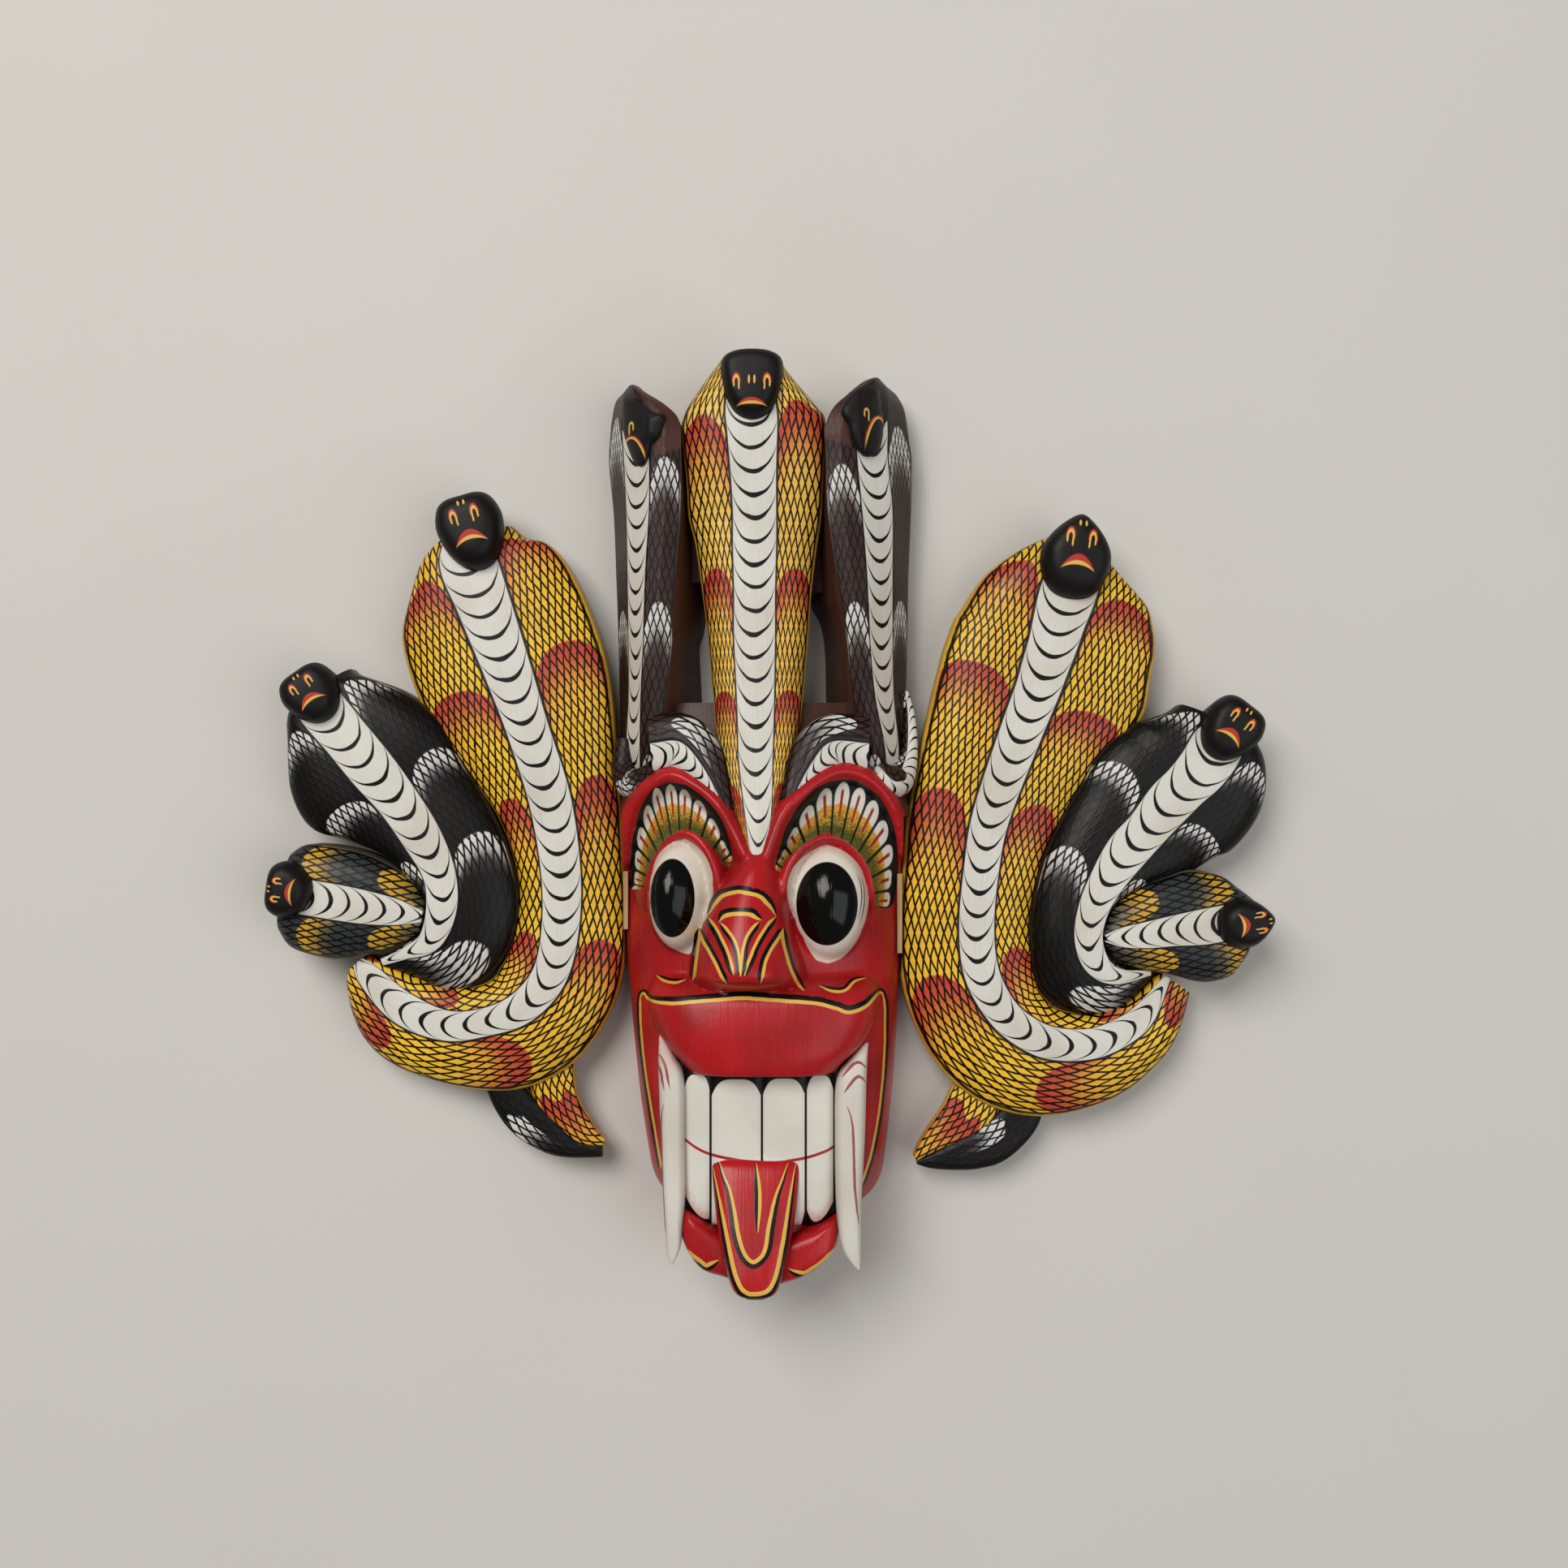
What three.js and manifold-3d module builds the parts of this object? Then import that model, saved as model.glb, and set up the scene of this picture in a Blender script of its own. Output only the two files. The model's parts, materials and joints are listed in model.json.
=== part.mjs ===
// Cobra raksha mask, carved in light wood and lying on its back.
// Three pieces: the hollow face with its crown of three cobras, and two cobra wings.
// Millimetres. +X is the viewer's right, +Y runs to the crown, +Z comes out of the face.
// The back of the face lies in z = 0 and the middle of the whole outline is the origin.

import * as THREE from 'three';
import { mergeVertices } from 'three/addons/utils/BufferGeometryUtils.js';
import Module from 'manifold-3d';

const wasm = await Module();
wasm.setup();

// Levels above the back of the face
const WING_BACK = 10;
const CENTRE_COBRA_BACK = 10;
const HOOD_DROP = 9;
const CENTRE_HOOD_DROP = 14;
const BROW_COBRA_BACK = 20;
const BROW_COBRA_DROP = 11;

// Flat seats on the sides of the face, where the wings are glued on
const LEFT_SEAT_X = -61.5;
const RIGHT_SEAT_X = 54.6;
const SEAT_TOP_Y = 2;
const SEAT_FOOT_Y = -64;
const GLUE_GAP = 0.3;

// Fineness of the facets
const STEPS_PER_STATION = 2;
const HEAD_SIDES = 10;
const HEAD_RINGS = 6;
const TUBE_SIDES = 6;
const FACE_ARC_STEPS = 16;
const FEATURE_ARC_STEPS = 10;
const TONGUE_SIDES = 12;
const TUSK_SIDES = 8;

// Squareness of the cross-sections: 2 is an ellipse, more is boxier
const FACE_SQUARENESS = 2.8;
const NOSE_SQUARENESS = 2.2;
const LIP_SQUARENESS = 2.8;
const TONGUE_SQUARENESS = 4;
const TUSK_SQUARENESS = 2.6;

// A cobra's flank: shares of the way from the belly's edge to the hood's edge
const FLANK_STOPS = [0, 0.6, 1];
const FLANK_POWER = 2.4;
const FLANK_ROUNDING = 0.6;

// Cobra stations: x, y, hood to the left, half belly, hood to the right, height of the belly
const LEFT_YELLOW = [
  [-128.5, 121, 8, 6, 17, 25],
  [-126.5, 109, 24, 12, 22, 27],
  [-119.5, 90.5, 38, 11.5, 40.5, 28],
  [-109, 61.5, 40, 10, 40, 28],
  [-101, 38, 34, 9, 36.5, 28],
  [-92, 9, 24.5, 9, 29, 27],
  [-87.5, -20, 19.5, 8.5, 25.5, 27],
  [-87.5, -43.5, 19.5, 8, 27, 27],
  [-92, -64, 20.5, 7.5, 29, 27],
  [-103.5, -77.5, 18.5, 7, 32, 27],
  [-118.5, -83.5, 15, 6, 31, 27],
  [-135.5, -85, 16.5, 6.5, 25.5, 27],
  [-154, -77.5, 14, 7, 23.5, 26],
  [-168.5, -64, 8.5, 5, 14, 24],
  [-173, -59, 4, 2.5, 7, 22],
];
const LEFT_DARK = [
  [-191, 53, 8, 6, 18, 28],
  [-187.5, 48.5, 19.5, 10, 19.5, 30],
  [-176, 35, 33, 10, 29.5, 31],
  [-164.5, 21, 37, 10, 33.5, 31],
  [-155, 9, 28.5, 9, 30.5, 30],
  [-145, -6, 18.5, 8.5, 29.5, 30],
  [-137.5, -21.5, 14, 7, 29, 30],
  [-136.5, -36.5, 7.5, 6.5, 31, 30],
  [-141.5, -49.5, 6, 5, 27, 29],
  [-152, -55, 3.5, 2.5, 13, 27],
  [-162.5, -59, 2.5, 1.5, 3.5, 24],
];
const LEFT_SMALL = [
  [-203, -29.5, 17, 6, 13, 30],
  [-198, -30.3, 22, 7.5, 19, 32],
  [-190.5, -31.5, 24, 7.5, 22, 33],
  [-178, -33.5, 24.5, 7.5, 22, 34],
  [-166.5, -35.5, 21, 7, 20, 34],
  [-154.5, -37.5, 15.5, 5.5, 15, 33],
  [-144.5, -39.5, 7.5, 2.5, 6, 31],
];
const RIGHT_YELLOW = [
  [127.5, 105.5, 17, 12, 20, 27],
  [122.5, 93, 34, 12, 37, 28],
  [117.5, 74, 41, 10.5, 44.5, 28],
  [110.5, 54, 41.5, 9.5, 44.5, 28],
  [103.5, 36, 39, 9, 36, 28],
  [91.5, 2, 34, 8, 29, 27],
  [87.5, -20, 32, 7.5, 25.5, 27],
  [85.5, -43.5, 32, 7.5, 23.5, 27],
  [87.5, -63, 33, 7.5, 23.5, 27],
  [95.5, -78.5, 35, 7, 20, 27],
  [105.5, -87.5, 35.5, 7, 16.5, 27],
  [117.5, -92.5, 32.5, 7, 14, 27],
  [134, -92.5, 27, 6.5, 11.5, 27],
  [147.5, -87, 22.5, 6, 10, 26],
  [156, -80, 19, 5, 7.5, 25],
  [166, -65.5, 13.5, 1.5, 3.5, 22],
];
const RIGHT_DARK = [
  [189.5, 41, 19, 6, 12, 28],
  [185.5, 32.5, 24.5, 11, 26.5, 30],
  [179, 22.5, 31, 11, 32, 31],
  [171.5, 14.5, 33, 10, 34, 31],
  [164.5, 7.5, 34.5, 10, 32.5, 31],
  [156, -3, 33, 9, 27.5, 30],
  [147, -13, 29.5, 9, 21, 30],
  [139, -25, 27, 7.5, 12, 30],
  [133.5, -36.5, 24, 6.5, 8, 30],
  [131.5, -48.5, 23, 6, 6, 30],
  [135, -59, 24.5, 5.5, 5.5, 29],
  [143.5, -64.5, 17, 3.5, 4.5, 28],
  [158.5, -63.5, 4, 1, 2, 24],
];
const RIGHT_SMALL = [
  [203, -39.3, 8, 6, 16, 30],
  [197, -40.3, 15, 7.5, 21, 32],
  [190, -41.5, 22, 7.5, 23, 33],
  [178, -43.5, 23.5, 7.5, 24, 34],
  [166.5, -45, 22, 6.5, 20, 34],
  [154.5, -47, 19, 5.5, 15.5, 33],
  [144.5, -48, 14, 4, 11, 32],
  [138.5, -48.5, 4.5, 1.5, 4, 31],
];

// Tail ends below the wings: x, y, half left, half belly, half right, height
const LEFT_TAILS = [
  [
    [-88, -98, 7, 3, 7, 23],
    [-88.5, -110, 7, 3, 7, 23],
    [-83, -122, 6, 2, 6, 22],
    [-71, -134, 1.5, 0.5, 1.5, 19],
  ],
  [
    [-112, -107, 7.5, 3, 7.5, 23],
    [-108.5, -119.5, 8, 3, 8, 23],
    [-99, -128.5, 7.5, 3, 7.5, 22],
    [-85, -135, 5, 2, 5, 21],
    [-72.5, -138.5, 2, 1, 2, 19],
  ],
];
const RIGHT_TAILS = [
  [
    [87, -108, 9.5, 3, 9.5, 23],
    [83.5, -119, 9, 3, 9, 23],
    [75, -128.5, 6, 2, 6, 22],
    [62, -141, 1.5, 0.5, 1.5, 19],
  ],
  [
    [106, -117, 9, 3, 9, 23],
    [100.5, -129, 9, 3, 9, 23],
    [85, -138, 6.5, 3, 6.5, 22],
    [70, -142.5, 4, 2, 4, 21],
    [62, -143.5, 2, 1, 2, 19],
  ],
];

// Cobra heads: x, y, level of the widest ring, half width, half length, rise, turn in degrees
const LEFT_HEADS = [
  [-124, 119.5, 26, 13.5, 15.5, 14, 16],
  [-190, 53.5, 29, 12.5, 12.5, 13, 35],
  [-198.5, -28.5, 31, 11.5, 10.5, 12, 82],
];
const RIGHT_HEADS = [
  [126.5, 109.5, 26, 14.5, 17.5, 14, -8],
  [190, 38.5, 29, 12.5, 13.5, 13, -38],
  [197, -40.5, 31, 10.5, 12, 12, -80],
];
const HEAD_LEAN = 0.18;
const HEAD_BACK_SHARE = 0.92;

// Crown: the cobra in the middle, in the same six columns as the wings
const CENTRE_COBRA = [
  [-7.5, 188.5, 12.5, 7, 11.5, 50],
  [-8, 177.5, 20.5, 9, 21, 50],
  [-8, 167.5, 27, 10.5, 27.5, 49],
  [-7.5, 160, 28.5, 10.5, 29.5, 49],
  [-7, 142, 28, 9.5, 29, 48],
  [-6.5, 125.5, 27.5, 9, 27.5, 47],
  [-6.5, 113, 24.5, 9, 25.5, 47],
  [-6.5, 92, 21.5, 8.5, 23, 47],
  [-6.5, 75.5, 19.5, 8.5, 22, 47.5],
  [-6, 43, 17, 7.5, 18.5, 49],
  [-6, 26, 16, 7, 16.5, 51],
  [-5, 5, 11.5, 5.5, 9.5, 55],
  [-5, -14, 3.5, 3, 3, 59],
];
const CENTRE_HEAD = [-7.5, 176.5, 44, 12.8, 14.5, 16, 0];

// Side cobras of the crown, turned outwards, seen as columns:
// y, outer edge, outer and inner edge of the belly, inner edge, foot of the inner wall, share of height
const LEFT_COLUMN = [
  [181.5, -63, -61.5, -58.5, -55, -55, 0.72],
  [175, -65.5, -61.5, -55.5, -50.5, -50, 0.9],
  [163, -67.5, -61.8, -50, -37.2, -36, 1],
  [150, -68.5, -61, -49.5, -36.5, -36, 1],
  [128, -66.5, -60, -49.5, -36.5, -34, 1],
  [103, -65.5, -59.5, -51, -38.5, -32.5, 1],
  [72, -64.5, -59, -52, -40, -31, 1],
  [51, -64, -59, -53, -42.5, -30, 1],
  [31, -63.5, -60, -53.5, -45.5, -30, 0.95],
  [14, -62, -59, -54, -47, -30, 0.75],
];
const RIGHT_COLUMN = [
  [181, 45.5, 44, 41, 37.5, 37.5, 0.72],
  [175.5, 51.3, 47.5, 40.5, 33, 32.5, 0.9],
  [168.5, 55, 48.2, 37, 26, 25.5, 0.97],
  [160, 57.5, 48.5, 35, 22.2, 22, 1],
  [150, 59.5, 48.5, 35, 22.5, 21, 1],
  [128, 59, 50.5, 37, 23, 19, 1],
  [103, 58, 50.5, 39, 26.5, 18.5, 1],
  [72, 57.5, 50.5, 40.5, 31, 21, 1],
  [51, 57, 51, 42.5, 33, 23.5, 1],
  [31, 57, 53, 46.5, 36.5, 24, 0.95],
  [14, 57, 53.5, 48, 40, 24, 0.75],
];
const COLUMN_LEVELS = { edge: 15, outerBelly: 30, innerBelly: 42, inner: 44 };
// Column heads: x, y, z, half width, half length, half depth, turn outwards in degrees
const COLUMN_HEADS = [
  [-54, 158.5, 40, 11.5, 17, 14, -32],
  [40, 160, 40, 11.5, 16, 14, 32],
];
// Webs of wood that tie the middle hood to the side cobras: x range, y range, z range
const WEBS = [
  [-42, -28, 116, 162, 8, 31],
  [14, 28, 112, 162, 8, 31],
];
// Cobra bodies along the brows, in the wing columns
const BROW_COBRAS = [
  [
    [-49, 33, 8, 1, 10, 44],
    [-36, 33.5, 9, 1, 10.5, 48],
    [-26, 22.5, 8, 1, 9.5, 51],
    [-17.5, 5, 3, 0.5, 4, 54],
  ],
  [
    [40, 33, 10, 1, 8, 44],
    [24, 33.5, 10, 1, 8.5, 48],
    [15, 23.5, 9, 1, 8, 51],
    [7, 7, 4, 0.5, 3, 54],
  ],
];
// Tail tips curling up beside the columns: x, y, z, radius
const TAIL_CURLS = [
  [[-60.5, 34, 27, 3.5], [-61, 22, 28, 4.5], [-56, 16.5, 31, 5], [-50.5, 24, 36, 4]],
  [[49, 27, 31, 6], [53.5, 20.5, 28, 5.5], [57.5, 29, 24, 3.5], [57.8, 43, 22, 2.5],
    [56.5, 54, 20, 1.2]],
];

// Face: y, left edge, right edge, depth
const FACE_BLOCK = [
  [49, -62, 56, 32],
  [36, -62.3, 57, 37],
  [22, -62.2, 58, 43],
  [8, -62.1, 58, 46],
  [-12, -62.3, 56.8, 48],
  [-31, -62.5, 55.6, 49],
  [-52, -61.8, 55, 50],
  [-72, -60.2, 54.3, 51],
  [-96, -58, 53, 50],
  [-118, -55.6, 51.2, 48],
  [-138, -52.5, 49, 46],
  [-148, -50.5, 47.5, 43],
  [-155, -47, 44.5, 38],
  [-160, -42.5, 40, 33],
];
const CHIN = [
  [-140, -36.5, 28, 44],
  [-158, -36.5, 28, 47],
  [-168, -36.4, 27.8, 49],
  [-175, -34.5, 26, 49],
  [-181, -28.5, 19, 47],
  [-185, -18, 9, 42],
  [-186.5, -10, 2, 36],
];
const MUZZLE_FLOOR = 30;
const MUZZLE = [
  [-64.5, -47, 41, 50],
  [-68.5, -50, 44.5, 57],
  [-76, -49.5, 44, 62.5],
  [-84, -46, 40.5, 65],
  [-91, -41.5, 36, 65.5],
  [-96, -36, 29, 64],
  [-98.8, -29, 22, 61],
];
const TEETH_FLOOR = 20;
const TEETH = [
  [-94, -41, 32, 53.5],
  [-110, -41, 32, 54],
  [-150, -39, 30, 53],
  [-160, -37, 28, 51],
  [-163, -35, 26, 48],
];
const NOSE_FLOOR = 38;
const NOSE = [
  [-10, -12, 1, 56],
  [-17, -16, 4, 64],
  [-26, -22.5, 6.5, 68],
  [-36, -27, 8.5, 72],
  [-48, -30.5, 11, 76],
  [-58, -33, 14, 79],
  [-62.5, -33, 15.5, 79],
  [-64.5, -31.5, 14.5, 75],
];
// Tongue and tusks: y, left edge, right edge, front, back
const TONGUE = [
  [-128, -24, 12, 56, 40],
  [-140, -22.3, 10.4, 59, 40],
  [-155, -20, 7.8, 62.5, 40],
  [-170, -17.8, 5.2, 66, 42],
  [-180, -16, 3.5, 68, 46],
  [-185, -13.6, 1.6, 68, 51],
  [-187.5, -9.5, -2.5, 66, 56],
];
const LEFT_TUSK = [
  [-86, -45, -43, 50, 44],
  [-94, -45.2, -38.5, 55, 40],
  [-103, -45, -34.9, 57, 38],
  [-126, -44.2, -34.9, 57, 38],
  [-150, -42.2, -34.7, 57, 40],
  [-163, -41.6, -35, 57, 44],
  [-171, -41, -36.5, 56.5, 48],
  [-177, -39.9, -38.8, 55, 52],
];
const RIGHT_TUSK = [
  [-89, 37.5, 39.5, 50, 44],
  [-96, 31, 39, 55, 40],
  [-104, 26.2, 38.6, 57, 38],
  [-126, 25.5, 38, 57, 38],
  [-151, 26.2, 36, 57, 40],
  [-164, 28.5, 35.5, 57, 44],
  [-173, 31.5, 35.3, 56.5, 48],
  [-178.6, 34, 35.2, 55, 52],
];
// Lower lips and eyeballs: x, y, z, half width, half length, half depth, turn outwards in degrees
const LOWER_LIPS = [
  [-28.5, -168, 46, 9, 13.5, 9, -10],
  [17.5, -170.5, 46, 11, 14, 9, 10],
];
const EYEBALLS = [
  [-36, -30.2, 38, 13.5, 24, 22, -16],
  [22.8, -32.4, 40, 17, 24.5, 21, 8],
];
// Upper eyelids, half rings round the eyeballs: x, y, half width, half height, level, slope outwards
const EYELIDS = [
  [-35.6, -30.2, 15, 26, 49, 0.4],
  [22.8, -32.4, 18.5, 26.5, 50, -0.33],
];
const EYELID_RADIUS = 2.4;
const EYELID_START_DEGREES = -12;
const EYELID_END_DEGREES = 192;
const EYELID_STEPS = 12;
// Raised red arches of the brows: x, y, z
const BROW_RADIUS = 2.7;
const BROW_ARCHES = [
  [[-60.5, -16, 27], [-58.1, 1.1, 36], [-51.6, 12.1, 43], [-40.9, 19, 47], [-30.8, 15.1, 50],
    [-21.6, 7.6, 53], [-15.1, -2.8, 55], [-10.2, -12.6, 58]],
  [[-1.8, -13.6, 58], [4.7, 3, 55], [11.6, 10.5, 53], [21.4, 18, 50], [29.8, 20.6, 47.5],
    [38, 18.3, 45], [44.8, 12.8, 42], [50.4, 3.7, 38], [54.5, -12, 28]],
];

// Hollow of the back: y, left edge, right edge, depth
const HOLLOW = [
  [31, -24, 14, 8],
  [26, -40, 30, 20],
  [14, -48.5, 39, 28],
  [-30, -51, 41.5, 33],
  [-70, -49.5, 40.5, 35],
  [-110, -46, 37.5, 32],
  [-138, -41, 32.5, 28],
  [-149, -32, 24, 20],
  [-153, -20, 12, 9],
];
const CUT_OVERSHOOT = 2;

const DEGREE = Math.PI / 180;
const SAME_POINT = 1e-4;
// Reach of the cutting blocks, past the whole mask
const FAR = 400;

// A smooth run of rows through the given stations
function smoothRows(rows, steps = STEPS_PER_STATION) {
  const run = [];
  for (let i = 0; i < rows.length - 1; i += 1) {
    const before = rows[Math.max(i - 1, 0)];
    const after = rows[Math.min(i + 2, rows.length - 1)];
    for (let step = 0; step < steps; step += 1) {
      const t = step / steps;
      run.push(rows[i].map((value, column) => {
        const next = rows[i + 1][column];
        const leave = (next - before[column]) / 2;
        const arrive = (after[column] - value) / 2;
        const a = 2 * value - 2 * next + leave + arrive;
        const b = -3 * value + 3 * next - 2 * leave - arrive;
        return ((a * t + b) * t + leave) * t + value;
      }));
    }
  }
  run.push(rows[rows.length - 1]);
  return run;
}

// A closed solid through rings of points that all have the same count
function loft(rings) {
  const count = rings[0].length;
  const points = rings.flat();
  const faces = [];
  for (let ring = 0; ring < rings.length - 1; ring += 1) {
    for (let i = 0; i < count; i += 1) {
      const a = ring * count + i;
      const b = ring * count + (i + 1) % count;
      faces.push(a, b, a + count, b, b + count, a + count);
    }
  }
  const capRing = (ring, flip) => {
    const middle = new THREE.Vector3();
    rings[ring].forEach((point) => middle.addScaledVector(point, 1 / count));
    const hub = points.push(middle) - 1;
    for (let i = 0; i < count; i += 1) {
      const a = ring * count + i;
      const b = ring * count + (i + 1) % count;
      faces.push(...(flip ? [hub, b, a] : [hub, a, b]));
    }
  };
  capRing(0, true);
  capRing(rings.length - 1, false);
  const geometry = new THREE.BufferGeometry().setFromPoints(points);
  geometry.setIndex(faces);
  return geometry;
}

// A closed mesh as a solid, with its faces turned outwards
function solid(geometry) {
  geometry.deleteAttribute('normal');
  geometry.deleteAttribute('uv');
  const merged = mergeVertices(geometry, SAME_POINT);
  const vertProperties = Float32Array.from(merged.attributes.position.array);
  const triVerts = Uint32Array.from(merged.index.array);
  const corner = (i) => new THREE.Vector3().fromArray(vertProperties, triVerts[i] * 3);
  let volume = 0;
  for (let i = 0; i < triVerts.length; i += 3) {
    volume += corner(i).dot(corner(i + 1).cross(corner(i + 2)));
  }
  if (volume < 0) {
    for (let i = 0; i < triVerts.length; i += 3) {
      [triVerts[i], triVerts[i + 1]] = [triVerts[i + 1], triVerts[i]];
    }
  }
  return new wasm.Manifold(new wasm.Mesh({ numProp: 3, vertProperties, triVerts }));
}

function unite(solids) {
  return solids.reduce((whole, next) => whole.add(next));
}

function block([x0, x1], [y0, y1], [z0, z1]) {
  const geometry = new THREE.BoxGeometry(x1 - x0, y1 - y0, z1 - z0);
  return solid(geometry.translate((x0 + x1) / 2, (y0 + y1) / 2, (z0 + z1) / 2));
}

// Directions along a run of rows whose first two columns are x and y
function headings(rows) {
  return rows.map((row, i) => {
    const before = rows[Math.max(i - 1, 0)];
    const after = rows[Math.min(i + 1, rows.length - 1)];
    return new THREE.Vector2(after[0] - before[0], after[1] - before[1]).normalize();
  });
}

// A cobra's body: flat back, flat belly, flanks rounded down to the edges of the hood
function cobraBody(stations, back, drop) {
  const rows = smoothRows(stations);
  const along = headings(rows);
  return solid(loft(rows.map(([x, y, left, belly, right, top], i) => {
    const side = new THREE.Vector2(along[i].y, -along[i].x);
    const at = (offset, z) => new THREE.Vector3(x + side.x * offset, y + side.y * offset, z);
    const flank = (width, sign) => FLANK_STOPS.map((share) => {
      const rise = (1 - share ** FLANK_POWER) ** FLANK_ROUNDING;
      return at(sign * (belly + (width - belly) * share), top - drop * (1 - rise));
    });
    return [at(-right, back), ...flank(right, -1).reverse(), ...flank(left, 1), at(left, back)];
  })));
}

// A cobra's head: a dome that leans to the chin, on sides that run to the flat back
function cobraHead([x, y, level, halfWidth, halfLength, rise, turn], back) {
  const geometry = new THREE.SphereGeometry(1, HEAD_SIDES, HEAD_RINGS).rotateX(Math.PI / 2);
  const place = geometry.attributes.position;
  for (let i = 0; i < place.count; i += 1) {
    const z = place.getZ(i);
    const onBack = z < -SAME_POINT;
    const share = onBack ? HEAD_BACK_SHARE : 1;
    const lean = onBack ? 0 : HEAD_LEAN * z * halfLength;
    place.setXYZ(
      i,
      place.getX(i) * halfWidth * share,
      place.getY(i) * halfLength * share - lean,
      onBack ? back - level : z * rise,
    );
  }
  return solid(geometry.rotateZ(turn * DEGREE).translate(x, y, level));
}

function ellipsoid([x, y, z, halfWidth, halfLength, halfDepth, turn]) {
  const geometry = new THREE.SphereGeometry(1, HEAD_SIDES, HEAD_RINGS).rotateX(Math.PI / 2);
  geometry.scale(halfWidth, halfLength, halfDepth).rotateY(turn * DEGREE);
  return solid(geometry.translate(x, y, z));
}

// A round bar along x, y, z, radius rows
function bar(rows, steps = STEPS_PER_STATION) {
  const run = smoothRows(rows, steps);
  return solid(loft(run.map(([x, y, z, radius], i) => {
    const before = run[Math.max(i - 1, 0)];
    const after = run[Math.min(i + 1, run.length - 1)];
    const forward = new THREE.Vector3(...after).sub(new THREE.Vector3(...before)).normalize();
    const across = new THREE.Vector3(forward.y, -forward.x, 0).normalize();
    const up = new THREE.Vector3().crossVectors(across, forward);
    return Array.from({ length: TUBE_SIDES }, (_, k) => {
      const angle = (k / TUBE_SIDES) * 2 * Math.PI;
      return new THREE.Vector3(x, y, z)
        .addScaledVector(across, radius * Math.cos(angle))
        .addScaledVector(up, radius * Math.sin(angle));
    });
  })));
}

function power(value, exponent) {
  return Math.sign(value) * Math.abs(value) ** exponent;
}

// A half-round block lofted down the face, from rows of y, left, right and front level
function archedBlock(rows, floor, squareness, arcSteps) {
  return solid(loft(rows.map(([y, left, right, front]) => {
    const point = (_, k) => {
      const angle = (k / arcSteps) * Math.PI;
      const rise = k % arcSteps === 0 ? 0 : power(Math.sin(angle), 2 / squareness);
      const x = (left + right) / 2 + ((right - left) / 2) * power(Math.cos(angle), 2 / squareness);
      return new THREE.Vector3(x, y, floor + (front - floor) * rise);
    };
    return Array.from({ length: arcSteps + 1 }, point);
  })));
}

// A full-round bar lofted down the face, from rows of y, left, right, front and back
function carvedBar(rows, squareness, sides) {
  return solid(loft(rows.map(([y, left, right, front, back]) => {
    const point = (_, k) => {
      const angle = ((k + 0.5) / sides) * 2 * Math.PI;
      const x = (left + right) / 2 + ((right - left) / 2) * power(Math.cos(angle), 2 / squareness);
      const z = (front + back) / 2 + ((front - back) / 2) * power(Math.sin(angle), 2 / squareness);
      return new THREE.Vector3(x, y, z);
    };
    return Array.from({ length: sides }, point);
  })));
}

// A side cobra of the crown: belly turned outwards, upright wall towards the middle
function crownColumn(stations) {
  const { edge, outerBelly, innerBelly, inner } = COLUMN_LEVELS;
  return solid(loft(smoothRows(stations).map(([y, outer, bellyOut, bellyIn, inside, foot, share]) => {
    const at = (x, z) => new THREE.Vector3(x, y, z * share);
    const middle = (bellyIn + inside) / 2;
    return [at(outer, 0), at(outer, edge), at(bellyOut, outerBelly), at(bellyIn, innerBelly),
      at(middle, inner), at(inside, innerBelly), at(foot, 0)];
  })));
}

function eyelid([x, y, halfWidth, halfHeight, level, slope]) {
  const rows = Array.from({ length: EYELID_STEPS + 1 }, (_, k) => {
    const share = k / EYELID_STEPS;
    const angle = (EYELID_START_DEGREES + share * (EYELID_END_DEGREES - EYELID_START_DEGREES)) * DEGREE;
    const offset = halfWidth * Math.cos(angle);
    return [x + offset, y + halfHeight * Math.sin(angle), level + slope * offset, EYELID_RADIUS];
  });
  return bar(rows, 1);
}

function wing(cobras, heads, tails) {
  const bodies = cobras.map((stations) => cobraBody(stations, WING_BACK, HOOD_DROP));
  const tips = tails.map((stations) => cobraBody(stations, WING_BACK, HOOD_DROP));
  return unite([...bodies, ...tips, ...heads.map((head) => cobraHead(head, WING_BACK))]);
}

function crown() {
  return unite([
    cobraBody(CENTRE_COBRA, CENTRE_COBRA_BACK, CENTRE_HOOD_DROP),
    cobraHead(CENTRE_HEAD, CENTRE_COBRA_BACK),
    crownColumn(LEFT_COLUMN),
    crownColumn(RIGHT_COLUMN),
    ...COLUMN_HEADS.map(ellipsoid),
    ...WEBS.map(([x0, x1, y0, y1, z0, z1]) => block([x0, x1], [y0, y1], [z0, z1])),
    ...BROW_COBRAS.map((stations) => cobraBody(stations, BROW_COBRA_BACK, BROW_COBRA_DROP)),
    ...TAIL_CURLS.map((rows) => bar(rows)),
  ]);
}

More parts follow.
